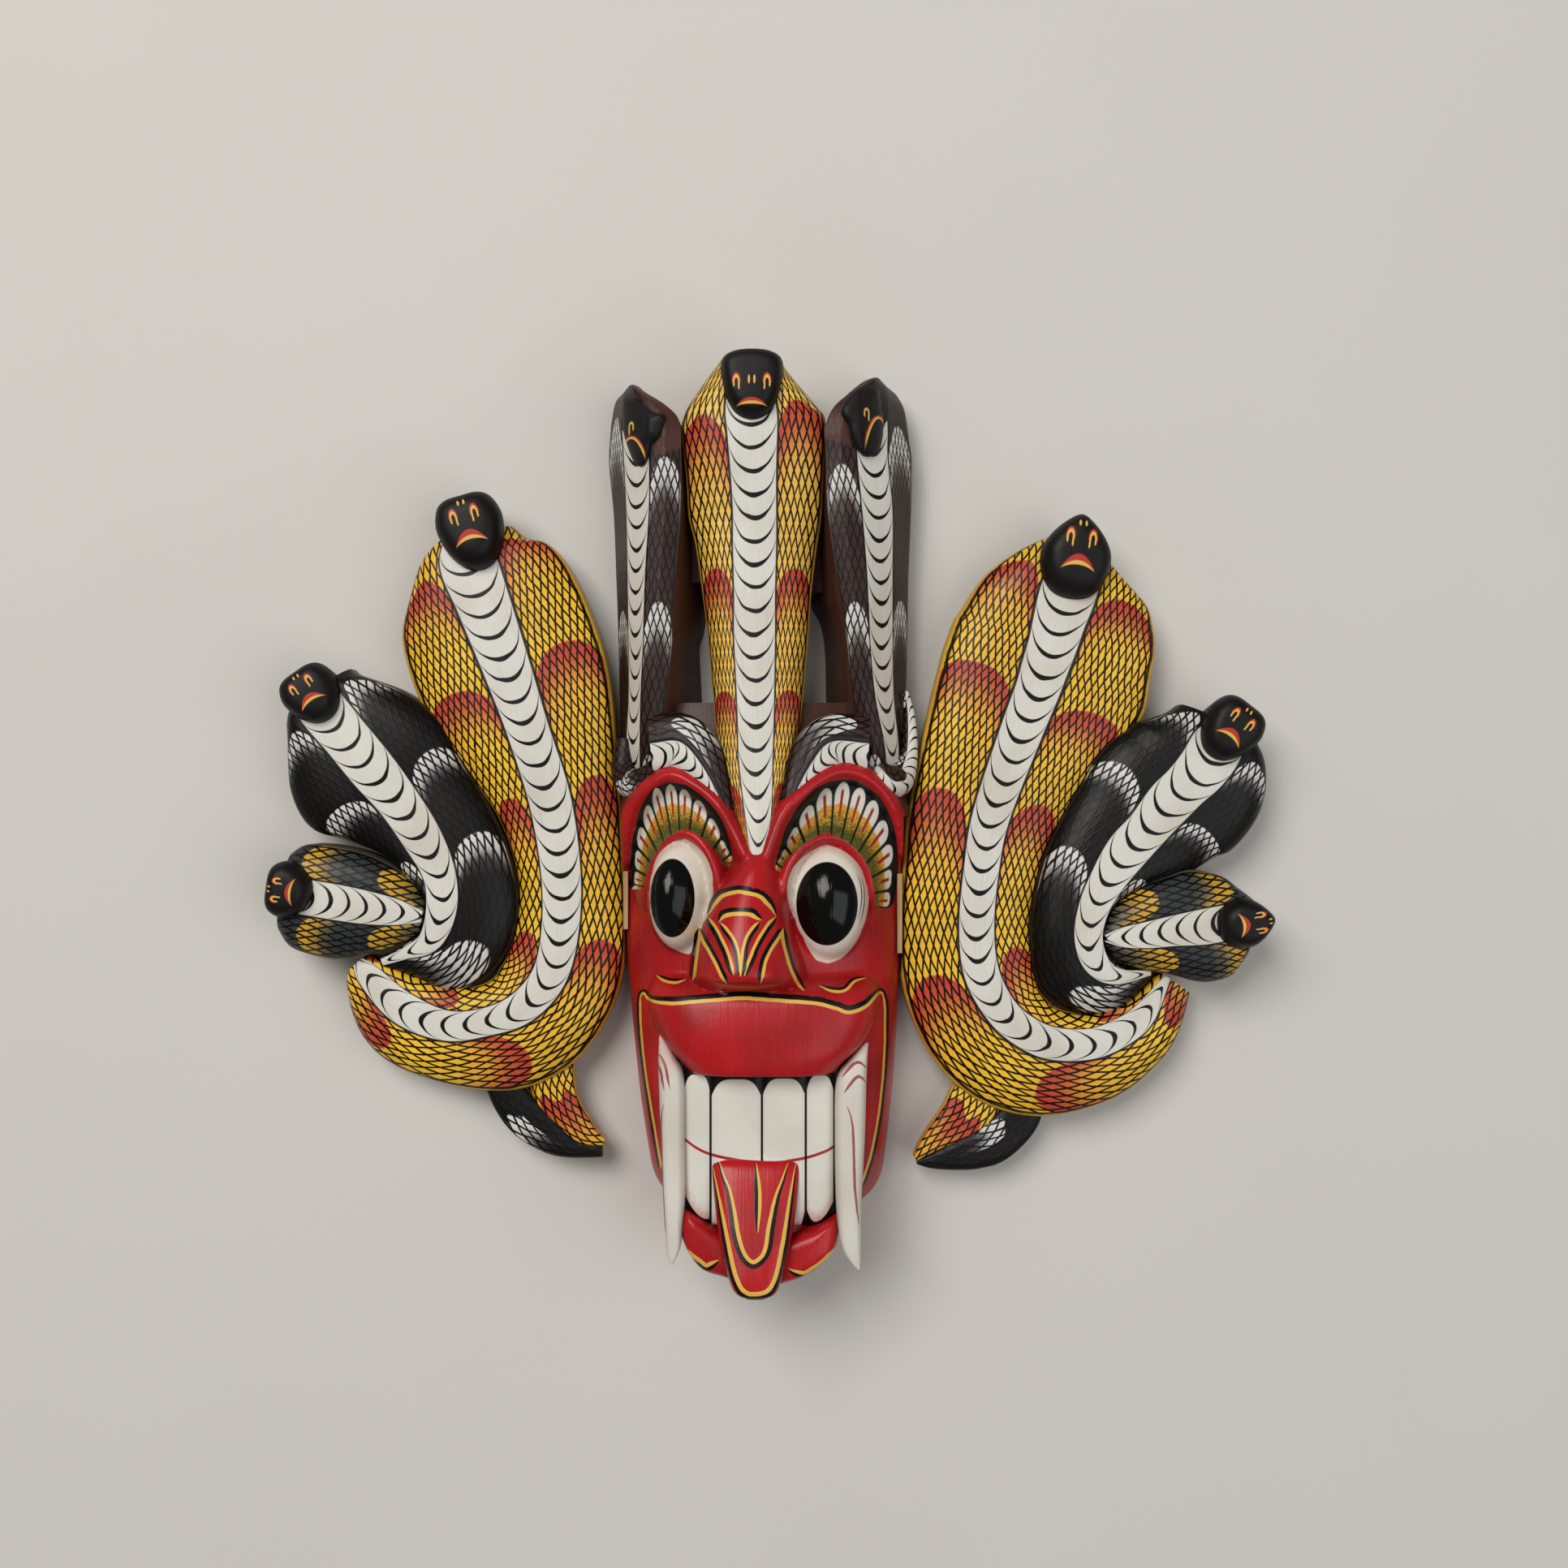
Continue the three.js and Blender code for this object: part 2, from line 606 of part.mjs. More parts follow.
function face() {
  return unite([
    archedBlock(FACE_BLOCK, 0, FACE_SQUARENESS, FACE_ARC_STEPS),
    archedBlock(CHIN, 0, FACE_SQUARENESS, FEATURE_ARC_STEPS),
    archedBlock(TEETH, TEETH_FLOOR, FACE_SQUARENESS, FEATURE_ARC_STEPS),
    archedBlock(MUZZLE, MUZZLE_FLOOR, LIP_SQUARENESS, FEATURE_ARC_STEPS),
    archedBlock(NOSE, NOSE_FLOOR, NOSE_SQUARENESS, FEATURE_ARC_STEPS),
    carvedBar(TONGUE, TONGUE_SQUARENESS, TONGUE_SIDES),
    carvedBar(LEFT_TUSK, TUSK_SQUARENESS, TUSK_SIDES),
    carvedBar(RIGHT_TUSK, TUSK_SQUARENESS, TUSK_SIDES),
    ...LOWER_LIPS.map(ellipsoid),
    ...EYEBALLS.map(ellipsoid),
    ...EYELIDS.map(eyelid),
    ...BROW_ARCHES.map((points) => bar(points.map((point) => [...point, BROW_RADIUS]))),
  ]);
}

const hollowMouth = HOLLOW.map(([y, left, right]) => [y, left, right, -CUT_OVERSHOOT]);
const backHollow = archedBlock(HOLLOW, 0, FACE_SQUARENESS, FEATURE_ARC_STEPS)
  .add(archedBlock(hollowMouth, 0, FACE_SQUARENESS, FEATURE_ARC_STEPS));
const seats = block([-FAR, LEFT_SEAT_X], [SEAT_FOOT_Y, SEAT_TOP_Y], [-CUT_OVERSHOOT, FAR])
  .add(block([RIGHT_SEAT_X, FAR], [SEAT_FOOT_Y, SEAT_TOP_Y], [-CUT_OVERSHOOT, FAR]));

const maskSolid = face().add(crown()).subtract(backHollow).subtract(seats);
const leftWingSolid = wing([LEFT_YELLOW, LEFT_DARK, LEFT_SMALL], LEFT_HEADS, LEFT_TAILS)
  .subtract(block([LEFT_SEAT_X - GLUE_GAP, FAR], [-FAR, FAR], [-CUT_OVERSHOOT, FAR]));
const rightWingSolid = wing([RIGHT_YELLOW, RIGHT_DARK, RIGHT_SMALL], RIGHT_HEADS, RIGHT_TAILS)
  .subtract(block([-FAR, RIGHT_SEAT_X + GLUE_GAP], [-FAR, FAR], [-CUT_OVERSHOOT, FAR]));

function namedMesh(name, carving, material) {
  const { numProp, vertProperties, triVerts } = carving.getMesh();
  const geometry = new THREE.BufferGeometry();
  const places = new Float32Array((vertProperties.length / numProp) * 3);
  for (let i = 0; i < places.length / 3; i += 1) {
    places.set(vertProperties.subarray(i * numProp, i * numProp + 3), i * 3);
  }
  geometry.setAttribute('position', new THREE.BufferAttribute(places, 3));
  geometry.setIndex(new THREE.BufferAttribute(triVerts, 1));
  geometry.computeVertexNormals();
  const mesh = new THREE.Mesh(geometry, material);
  mesh.name = name;
  return mesh;
}

const redPaint = new THREE.MeshStandardMaterial({ color: 0xb52a2e, roughness: 0.4, metalness: 0 });
const leftYellowPaint = new THREE.MeshStandardMaterial({ color: 0xd8a72c, roughness: 0.4, metalness: 0 });
const rightYellowPaint = leftYellowPaint.clone();

const mask = new THREE.Group();
mask.add(
  namedMesh('face_and_crown', maskSolid, redPaint),
  namedMesh('left_cobra_wing', leftWingSolid, leftYellowPaint),
  namedMesh('right_cobra_wing', rightWingSolid, rightYellowPaint),
);

export default mask;
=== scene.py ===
"""Carved cobra raksha mask, painted: the visual model.

A long red demon face with a crown of three cobras, and a wing of three cobras glued to each side.
Sizes are in millimetres in the part's own frame, and become metres when a mesh is written.
Painted lines are drawn on a front view of the mask, in pixels of its 1932 pixel square picture.
"""
from __future__ import annotations

import json
import logging
import math
from dataclasses import dataclass, replace
from enum import Enum
from typing import Callable, ClassVar, Iterable, Sequence

import bmesh
import bpy
import numpy as np
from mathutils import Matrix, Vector

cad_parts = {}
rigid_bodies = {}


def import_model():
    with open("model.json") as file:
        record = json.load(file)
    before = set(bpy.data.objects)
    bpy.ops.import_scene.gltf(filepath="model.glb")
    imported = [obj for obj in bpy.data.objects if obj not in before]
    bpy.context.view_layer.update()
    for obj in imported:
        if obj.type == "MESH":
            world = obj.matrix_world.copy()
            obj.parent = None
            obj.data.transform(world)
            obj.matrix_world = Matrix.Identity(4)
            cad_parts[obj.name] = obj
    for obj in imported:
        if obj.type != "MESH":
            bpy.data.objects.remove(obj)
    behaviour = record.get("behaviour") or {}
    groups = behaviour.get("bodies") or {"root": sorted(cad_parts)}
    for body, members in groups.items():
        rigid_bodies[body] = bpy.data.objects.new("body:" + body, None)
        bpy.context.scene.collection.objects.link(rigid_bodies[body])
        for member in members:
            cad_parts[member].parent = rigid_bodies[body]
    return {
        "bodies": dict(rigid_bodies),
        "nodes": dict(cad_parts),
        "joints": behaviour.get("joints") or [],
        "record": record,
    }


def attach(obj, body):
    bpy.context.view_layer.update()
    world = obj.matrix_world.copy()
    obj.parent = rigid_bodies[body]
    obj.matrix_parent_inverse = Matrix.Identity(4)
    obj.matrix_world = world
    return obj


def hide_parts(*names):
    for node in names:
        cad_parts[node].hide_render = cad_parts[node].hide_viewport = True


LOG = logging.getLogger("raksha_mask")

Row = tuple[float, ...]
Rows = tuple[Row, ...]
Colour = tuple[float, float, float, float]
Array = np.ndarray
Piece = bpy.types.Object
Paint = bpy.types.Material

MILLIMETRE = 0.001
PER_METRE = 1000.0
FAR_BELOW = -1000.0
FAR_OFF = 99.0
FLAT_FRONT: Rows = ((0.0, 0.0),)
LOOP_STEPS = 10
RING_STEPS = 1440
ARCH_STEPS = 721
SIDES = ("left", "right")
GLUE_GAP = 0.3
SEAT_TOP = 2.0
SEAT_BOTTOM = -64.0
SEAT_BACK = -5.0
SEAT_REACH = 20.0
LEFT_SEAT = -61.5
RIGHT_SEAT = 54.6


# The front view that the painted lines are drawn on


@dataclass(frozen=True)
class FrontView:
    """The picture that the painter's lines are placed on, taken from straight in front."""

    middle: float = 966.0
    pixel: float = 0.35
    distance: float = 750.0
    across: float = 5.4
    up: float = 15.4

    def draw(self, points: Array) -> Array:
        """Give the picture pixels of points on the mask.

        Args:
            points: Places in millimetres, one row each.

        Returns:
            Column and row of each point in the picture.
        """
        scale = self.pixel * (1.0 - points[:, 2] / self.distance)
        columns = self.middle + (points[:, 0] - self.across) / scale
        rows = self.middle - (points[:, 1] - self.up) / scale
        return np.stack([columns, rows], axis=1)

    def place(self, pixels: Array, level: float) -> Array:
        """Give the places of picture pixels at one height above the back.

        Args:
            pixels: Columns and rows in the picture.
            level: Height in millimetres.

        Returns:
            Places across and up the mask in millimetres.
        """
        scale = self.pixel * (1.0 - level / self.distance)
        across = (pixels[:, 0] - self.middle) * scale + self.across
        up = (self.middle - pixels[:, 1]) * scale + self.up
        return np.stack([across, up], axis=1)


VIEW = FrontView()


# Curves and rows


def smooth_rows(rows: Rows, steps: int) -> Array:
    """Run a smooth curve through rows of values.

    Args:
        rows: Rows that the curve passes through.
        steps: Steps from each row to the next.

    Returns:
        The denser rows.
    """
    given = np.array(rows, dtype=float)
    padded = np.vstack([2 * given[0] - given[1], given, 2 * given[-1] - given[-2]])
    found = []
    for index in range(1, len(padded) - 2):
        before, start, end, after = padded[index - 1:index + 3]
        for share in np.arange(steps) / steps:
            found.append(0.5 * (2 * start + (end - before) * share
                                + (2 * before - 5 * start + 4 * end - after) * share ** 2
                                + (3 * start - before - 3 * end + after) * share ** 3))
    found.append(given[-1])
    return np.array(found)


def run_length(points: Array) -> Array:
    """Give the length along a line of points from its start to each of them."""
    steps = np.linalg.norm(np.diff(points, axis=0), axis=1)
    return np.concatenate([[0.0], np.cumsum(steps)])


def respaced(line: Array, count: int, closed: bool = True) -> Array:
    """Give evenly spaced points along a flat line, without its end where that is its start again."""
    run = run_length(line)
    wanted = np.arange(count) * run[-1] / count if closed else np.linspace(0.0, run[-1], count)
    return np.stack([np.interp(wanted, run, column) for column in line.T], axis=1)


def even_loop(points: Sequence[Row], sides: int) -> Array:
    """Give a smooth closed line through points, as evenly spaced points."""
    given = list(points)
    closed = smooth_rows(tuple(given[-2:] + given + given[:3]), LOOP_STEPS)
    return respaced(closed[2 * LOOP_STEPS:-2 * LOOP_STEPS], sides)


def soft_max(first: Array, second: Array, radius: float) -> Array:
    """Take the higher of two heights, with a fillet where they cross.

    Args:
        first: Heights of one form.
        second: Heights of the other form.
        radius: Size of the fillet in millimetres.

    Returns:
        The joined heights.
    """
    overlap = np.clip(radius - np.abs(first - second), 0.0, None) / radius
    return np.maximum(first, second) + overlap ** 2 * radius / 4.0


def columns_at(rows: Rows, up: Array, steps: int = 8) -> list[Array]:
    """Read a table of rows, given from the top down, at any height on the mask.

    Args:
        rows: Rows that start with the place up the mask.
        up: Places up the mask to read at.
        steps: Steps of the smooth curve through the rows.

    Returns:
        One array for each column after the first.
    """
    dense = smooth_rows(rows, steps)[::-1]
    return [np.interp(up, dense[:, 0], dense[:, index]) for index in range(1, dense.shape[1])]


# Meshes


def recalculated(mesh: bpy.types.Mesh) -> None:
    """Turn all faces of a closed mesh outwards."""
    work = bmesh.new()
    work.from_mesh(mesh)
    bmesh.ops.recalc_face_normals(work, faces=work.faces)
    work.to_mesh(mesh)
    work.free()


def write_uv(mesh: bpy.types.Mesh, name: str, values: Array) -> None:
    """Write a UV map from one pair of values for each vertex."""
    corners = np.zeros(len(mesh.loops), dtype=np.int32)
    mesh.loops.foreach_get("vertex_index", corners)
    layer = mesh.uv_layers.new(name=name, do_init=False)
    layer.uv.foreach_set("vector", values[corners].astype(np.float32).ravel())


def write_marks(mesh: bpy.types.Mesh, name: str, values: Array) -> None:
    """Write three values for each vertex as a vector attribute."""
    layer = mesh.attributes.new(name, "FLOAT_VECTOR", "POINT")
    layer.data.foreach_set("vector", values.astype(np.float32).ravel())


def solid(name: str, points: Array, faces: list[tuple[int, ...]], material: Paint,
          maps: dict[str, Array] | None = None) -> Piece:
    """Make an object from points and faces.

    Args:
        name: Name of the object.
        points: Places in millimetres.
        faces: Vertex numbers of each face.
        material: Finish of the whole solid.
        maps: UV maps, with a pair of values for each point.

    Returns:
        The object, in the scene.
    """
    mesh = bpy.data.meshes.new(name)
    mesh.from_pydata((points * MILLIMETRE).tolist(), [], faces)
    mesh.materials.append(material)
    for title, values in (maps or {}).items():
        write_uv(mesh, title, values)
    recalculated(mesh)
    made = bpy.data.objects.new(name, mesh)
    bpy.context.scene.collection.objects.link(made)
    return made


def loft(name: str, rings: Array, material: Paint,
         maps: dict[str, Array] | None = None) -> Piece:
    """Skin a row of closed rings and close both ends.

    Args:
        name: Name of the object.
        rings: Places in millimetres, as rings by points by three.
        material: Finish of the whole solid.
        maps: UV maps, as rings by points by two.

    Returns:
        The object, in the scene.
    """
    count, sides = rings.shape[:2]
    points = np.vstack([rings.reshape(-1, 3), rings[0].mean(axis=0), rings[-1].mean(axis=0)])
    first, last = count * sides, count * sides + 1
    faces: list[tuple[int, ...]] = []
    for side in range(sides):
        after = (side + 1) % sides
        for ring in range(count - 1):
            low, high = ring * sides, (ring + 1) * sides
            faces.append((low + side, low + after, high + after, high + side))
        faces.append((first, after, side))
        top = (count - 1) * sides
        faces.append((last, top + side, top + after))
    flat = {title: np.vstack([values.reshape(-1, 2), values[0].mean(axis=0), values[-1].mean(axis=0)])
            for title, values in (maps or {}).items()}
    return solid(name, points, faces, material, flat)


def super_ring(sides: int, squareness: float) -> Array:
    """Give a ring between a circle and a square, one unit in radius."""
    turn = np.arange(sides) * 2 * math.pi / sides
    ring = np.stack([np.cos(turn), np.sin(turn)], axis=1)
    return np.sign(ring) * np.abs(ring) ** (2.0 / squareness)


def even_ring(sides: int, squareness: float) -> Array:
    """Give the same ring with its points evenly spaced."""
    dense = super_ring(RING_STEPS, squareness)
    return respaced(np.vstack([dense, dense[:1]]), sides)


def arch_ring(left: float, right: float, front: float, floor: float, squareness: float,
              count: int) -> Array:
    """Give an arch across the mask, with points evenly spaced along it.

    Args:
        left: Left end of the arch.
        right: Right end of the arch.
        front: Height of its crown.
        floor: Height of its ends.
        squareness: Two for an ellipse, more for a squarer arch.
        count: Number of points.

    Returns:
        Places across the mask and heights.
    """
    turn = np.linspace(0.0, math.pi, ARCH_STEPS)
    across = np.sign(np.cos(turn)) * np.abs(np.cos(turn)) ** (2.0 / squareness)
    rise = np.sin(turn) ** (2.0 / squareness)
    places = (left + right) / 2 + (right - left) / 2 * across
    return respaced(np.stack([places, floor + (front - floor) * rise], axis=1), count, closed=False)


def arch_rings(rows: Iterable[Row], floor: float, squareness: float, count: int) -> Array:
    """Give an arch across the mask at each row of y, left, right and front."""
    rings = []
    for up, left, right, front in rows:
        arch = arch_ring(left, right, front, floor, squareness, count)
        rings.append(np.stack([arch[:, 0], np.full(count, up), arch[:, 1]], axis=1))
    return np.array(rings)


def pad_rings(outline: Rows, sides: int, profile: Array, front: Rows) -> Array:
    """Give the rings of a pad that rounds over from its outline.

    Args:
        outline: Places round the pad.
        sides: Points of each ring.
        profile: Rows of a scale of the outline and a height over the front.
        front: Places across the mask and the height of the front there.

    Returns:
        Rings by points by three.
    """
    ring = even_loop(outline, sides)
    middle = ring.mean(axis=0)
    across, levels = np.array(front).T
    rings = []
    for scale, rise in profile:
        flat = middle + (ring - middle) * scale
        rings.append(np.column_stack([flat, np.interp(flat[:, 0], across, levels) + rise]))
    return np.array(rings)


class Cut(Enum):
    """What a boolean does with the other solids."""

    JOIN = "UNION"
    REMOVE = "DIFFERENCE"


def combine(base: Piece, others: Sequence[Piece], cut: Cut) -> None:
    """Join other solids to a solid, or take them out of it.

    Args:
        base: The solid that stays.
        others: The solids that are used up.
        cut: Join or remove.
    """
    tools = bpy.data.collections.new(base.name + "_tools")
    bpy.context.scene.collection.children.link(tools)
    for other in others:
        tools.objects.link(other)
    step = base.modifiers.new("combine", "BOOLEAN")
    step.operation = cut.value
    step.operand_type = "COLLECTION"
    step.collection = tools
    step.solver = "MANIFOLD"
    step.material_mode = "TRANSFER"
    ready = bpy.context.evaluated_depsgraph_get()
    mesh = bpy.data.meshes.new_from_object(base.evaluated_get(ready))
    base.modifiers.clear()
    base.data = mesh
    for other in others:
        bpy.data.objects.remove(other)
    bpy.data.collections.remove(tools)


# Node trees


class Wire:
    """One value in a node tree, with arithmetic that adds math nodes."""

    def __init__(self, bench: Bench, socket: bpy.types.NodeSocket) -> None:
        """Keep the bench that the value is on, and its socket."""
        self.bench = bench
        self.socket = socket

    def __add__(self, other: Wire | float) -> Wire:
        """Add."""
        return self.bench.math("ADD", self, other)

    def __radd__(self, other: float) -> Wire:
        """Add to a number."""
        return self.bench.math("ADD", other, self)

    def __sub__(self, other: Wire | float) -> Wire:
        """Take away."""
        return self.bench.math("SUBTRACT", self, other)

    def __rsub__(self, other: float) -> Wire:
        """Take away from a number."""
        return self.bench.math("SUBTRACT", other, self)

    def __mul__(self, other: Wire | float) -> Wire:
        """Multiply."""
        return self.bench.math("MULTIPLY", self, other)

    def __rmul__(self, other: float) -> Wire:
        """Multiply a number."""
        return self.bench.math("MULTIPLY", other, self)

    def __truediv__(self, other: Wire | float) -> Wire:
        """Divide."""
        return self.bench.math("DIVIDE", self, other)

    def __abs__(self) -> Wire:
        """Drop the sign."""
        return self.bench.math("ABSOLUTE", self)

    def above(self, edge: Wire | float, blur: float) -> Wire:
        """Give a mask that is one where this value is over an edge."""
        return self.bench.rise((self - edge) / blur, -0.5, 0.5)

    def below(self, edge: Wire | float, blur: float) -> Wire:
        """Give a mask that is one where this value is under an edge."""
        return 1.0 - self.above(edge, blur)


class Bench:
    """Adds nodes to one tree and wires them up."""

    def __init__(self, tree: bpy.types.NodeTree) -> None:
        """Keep the tree."""
        self.tree = tree

    def add(self, kind: str, **settings: object) -> bpy.types.Node:
        """Add a node and set its options."""
        node = self.tree.nodes.new(kind)
        for name, value in settings.items():
            setattr(node, name, value)
        return node

    def feed(self, socket: bpy.types.NodeSocket, value: object) -> None:
        """Link a wire to an input, or set the input to a plain value."""
        if isinstance(value, Wire):
            self.tree.links.new(value.socket, socket)
        else:
            socket.default_value = value

    def run(self, kind: str, inputs: dict[str | int, object], output: str | int = 0,
            **settings: object) -> Wire:
        """Add a node, feed its inputs and give one of its outputs.

        Args:
            kind: Node type.
            inputs: Values by the input's name or number.
            output: Name or number of the output.
            settings: Options of the node.

        Returns:
            The output.
        """
        node = self.add(kind, **settings)
        for name, value in inputs.items():
            self.feed(node.inputs[name], value)
        return Wire(self, node.outputs[output])

    def math(self, operation: str, *values: object) -> Wire:
        """Add a math node."""
        return self.run("ShaderNodeMath", dict(enumerate(values)), operation=operation)

    def rise(self, value: Wire, low: float, high: float) -> Wire:
        """Give a smooth step from nought at one value to one at another."""
        inputs = {0: value, 1: low, 2: high}
        return self.run("ShaderNodeMapRange", inputs, interpolation_type="SMOOTHSTEP")

    def blend(self, share: Wire | float, first: object, second: object) -> Wire:
        """Mix two colours."""
        node = self.add("ShaderNodeMix", data_type="RGBA")
        sockets = {socket.identifier: socket for socket in node.inputs}
        self.feed(sockets["Factor_Float"], share)
        self.feed(sockets["A_Color"], first)
        self.feed(sockets["B_Color"], second)
        return Wire(self, next(out for out in node.outputs if out.identifier == "Result_Color"))

    def split(self, vector: Wire) -> tuple[Wire, Wire, Wire]:
        """Take a vector apart."""
        node = self.add("ShaderNodeSeparateXYZ")
        self.feed(node.inputs[0], vector)
        return tuple(Wire(self, out) for out in node.outputs)

    def vector(self, across: object, up: object, out: object) -> Wire:
        """Put a vector together."""
        return self.run("ShaderNodeCombineXYZ", {0: across, 1: up, 2: out})

    def length(self, across: Wire, up: Wire) -> Wire:
        """Give the distance that two sides at right angles make."""
        return self.math("SQRT", self.math("POWER", across, 2.0) + self.math("POWER", up, 2.0))

    def noise(self, place: Wire, scale: Wire | float, detail: float = 2.0) -> Wire:
        """Give cloudy values around a half."""
        return self.run("ShaderNodeTexNoise", {"Vector": place, "Scale": scale, "Detail": detail})

    def object_place(self) -> Wire:
        """Give the place on the piece, in metres."""
        return self.run("ShaderNodeTexCoord", {}, "Object")

    def uv(self, name: str) -> tuple[Wire, Wire]:
        """Read a UV map."""
        node = self.add("ShaderNodeUVMap", uv_map=name)
        return self.split(Wire(self, node.outputs[0]))[:2]

    def marks(self, name: str) -> tuple[Wire, Wire, Wire]:
        """Read a vector attribute."""
        return self.split(self.run("ShaderNodeAttribute", {}, "Vector", attribute_name=name))


@dataclass(frozen=True)
class Effect:
    """A shader node group that several finishes share."""

    name: str
    inputs: tuple[tuple[str, float], ...]
    build: Callable[[Bench, dict[str, Wire]], dict[str, Wire]]

    def tree(self) -> bpy.types.NodeTree:
        """Give the group, which is built at its first use."""
        found = bpy.data.node_groups.get(self.name)
        if found:
            return found
        tree = bpy.data.node_groups.new(self.name, "ShaderNodeTree")
        for name, value in self.inputs:
            made = tree.interface.new_socket(name, in_out="INPUT", socket_type="NodeSocketFloat")
            made.default_value = value
        bench = Bench(tree)
        entry = bench.add("NodeGroupInput")
        results = self.build(bench, {name: Wire(bench, entry.outputs[name]) for name, _ in self.inputs})
        for name in results:
            tree.interface.new_socket(name, in_out="OUTPUT", socket_type="NodeSocketFloat")
        leave = bench.add("NodeGroupOutput")
        for name, value in results.items():
            bench.feed(leave.inputs[name], value)
        return tree

    def place(self, bench: Bench, **values: object) -> dict[str, Wire]:
        """Place the group in a material.

        Args:
            bench: The material's bench.
            values: Inputs by name, with underscores for spaces.

        Returns:
            The outputs by name.
        """
        node = bench.add("ShaderNodeGroup", node_tree=self.tree())
        for name, value in values.items():
            bench.feed(node.inputs[name.replace("_", " ")], value)
        return {out.name: Wire(bench, out) for out in node.outputs}


def build_lattice(bench: Bench, given: dict[str, Wire]) -> dict[str, Wire]:
    """Draw the crossing lines of snake scales, along and across in millimetres."""
    place = bench.vector(given["Run"], given["Across"], given["Run"] * 0.3)
    sway = (bench.noise(place, 0.11) - 0.5) * given["Wobble"]
    lengthwise = given["Run"] / given["Length"]
    spread = (given["Across"] + sway) / given["Width"]
    steep = bench.math("INVERSE_SQRT", bench.math("POWER", given["Width"], -2.0)
                       + bench.math("POWER", given["Length"], -2.0))
    weight = given["Line"] * (0.75 + 0.5 * bench.noise(place, 0.23))
    first = bench.math("PINGPONG", spread + lengthwise, 0.5) * steep
    second = bench.math("PINGPONG", spread - lengthwise, 0.5) * steep
    near = bench.math("MINIMUM", first, second)
    return {"Lines": near.below(weight * 0.5, 0.3)}


def build_bands(bench: Bench, given: dict[str, Wire]) -> dict[str, Wire]:
    """Draw the crescents across a cobra's belly, which open towards its head."""
    share = bench.math("MINIMUM", given["Share"] * given["Share"], 0.998)
    sag = 1.0 - bench.math("SQRT", 1.0 - share)
    place = bench.vector(given["Run"], given["Share"] * 6.0, 0.0)
    sway = (bench.noise(place, 0.09) - 0.5) * 3.2
    along = (given["Run"] + sway + sag * given["Depth"]) / given["Pitch"]
    near = bench.math("PINGPONG", along, 0.5) * given["Pitch"]
    weight = given["Line"] * (0.85 + 0.6 * bench.noise(place, 0.15)) * (1.0 - share * 0.72)
    return {"Bands": near.below(weight * 0.5, 0.35) * share.below(0.9, 0.08)}


def build_spots(bench: Bench, given: dict[str, Wire]) -> dict[str, Wire]:
    """Paint the patches on a flank: round at the head end and fading to the tail."""
    side = bench.math("MINIMUM", abs(given["Share"] - 0.5) * 2.1, 0.995)
    shift = (1.0 - bench.math("SQRT", 1.0 - side * side)) * given["Roundness"]
    reach = bench.math("FRACT", given["Turn"]) - shift
    inside = reach.above(0.0, 0.03)
    fade = 1.0 - bench.rise(reach, 0.04, given["Fade"])
    return {"Spot": inside * fade}


def build_streaks(bench: Bench, given: dict[str, Wire]) -> dict[str, Wire]:
    """Give the fine ridges that a brush leaves, along and across in millimetres."""
    fine = bench.noise(bench.vector(given["Run"] * 0.06, given["Across"] * 1.3, 0.0), 1.0, 3.0)
    broad = bench.noise(bench.vector(given["Run"] * 0.03, given["Across"] * 0.3, 4.0), 1.0, 2.0)
    return {"Tone": fine * 0.55 + broad * 0.45, "Height": fine}


def build_age(bench: Bench, given: dict[str, Wire]) -> dict[str, Wire]:
    """Give uneven paint and a fine grain over a whole piece."""
    place = bench.object_place()
    return {"Cloud": bench.noise(place, given["Cloud scale"], 4.0),
            "Grain": bench.noise(place, given["Grain scale"], 2.0)}


def build_stroke(bench: Bench, given: dict[str, Wire]) -> dict[str, Wire]:
    """Paint a doubled line: dark on one side of a curve and gold on the other."""
    wave = bench.noise(bench.object_place(), 260.0, 1.0) - 0.5
    offset = given["Offset"] + wave * 0.9
    dark = offset.above(0.0, 0.9) * offset.below(given["Dark width"], 0.9)
    gold = offset.below(0.0, 0.9) * (0.0 - offset).below(given["Gold width"], 0.9)
    return {"Dark": dark * given["Dark width"].above(0.6, 0.5),
            "Gold": gold * given["Gold width"].above(0.6, 0.5)}


LATTICE = Effect("scale_lattice", (("Run", 0.0), ("Across", 0.0), ("Length", 9.0), ("Width", 4.2),
                                   ("Line", 1.0), ("Wobble", 2.0)), build_lattice)
BANDS = Effect("belly_bands", (("Run", 0.0), ("Share", 0.0), ("Pitch", 9.4), ("Depth", 9.0), ("Line", 1.8)),
               build_bands)
SPOTS = Effect("flank_spots", (("Turn", 0.0), ("Share", 0.0), ("Roundness", 0.24), ("Fade", 0.5)),
               build_spots)
STREAKS = Effect("brush_streaks", (("Run", 0.0), ("Across", 0.0)), build_streaks)
AGE = Effect("aged_paint", (("Cloud scale", 38.0), ("Grain scale", 620.0)), build_age)
STROKE = Effect("doubled_line", (("Offset", FAR_OFF), ("Dark width", 0.0), ("Gold width", 0.0)),
    build_stroke)


def line_masks(bench: Bench, name: str) -> dict[str, Wire]:
    """Give the dark and gold masks of the lines that one attribute of the mesh measures."""
    offset, dark_width, gold_width = bench.marks(name)
    return STROKE.place(bench, Offset=offset, Dark_width=dark_width, Gold_width=gold_width)


# Finishes


def srgb(red: int, green: int, blue: int) -> Colour:
    """Give a paint colour from its screen values."""
    def linear(value: int) -> float:
        """Undo the screen's curve."""
        share = value / 255.0
        return share / 12.92 if share <= 0.04045 else ((share + 0.055) / 1.055) ** 2.4
    return linear(red), linear(green), linear(blue), 1.0


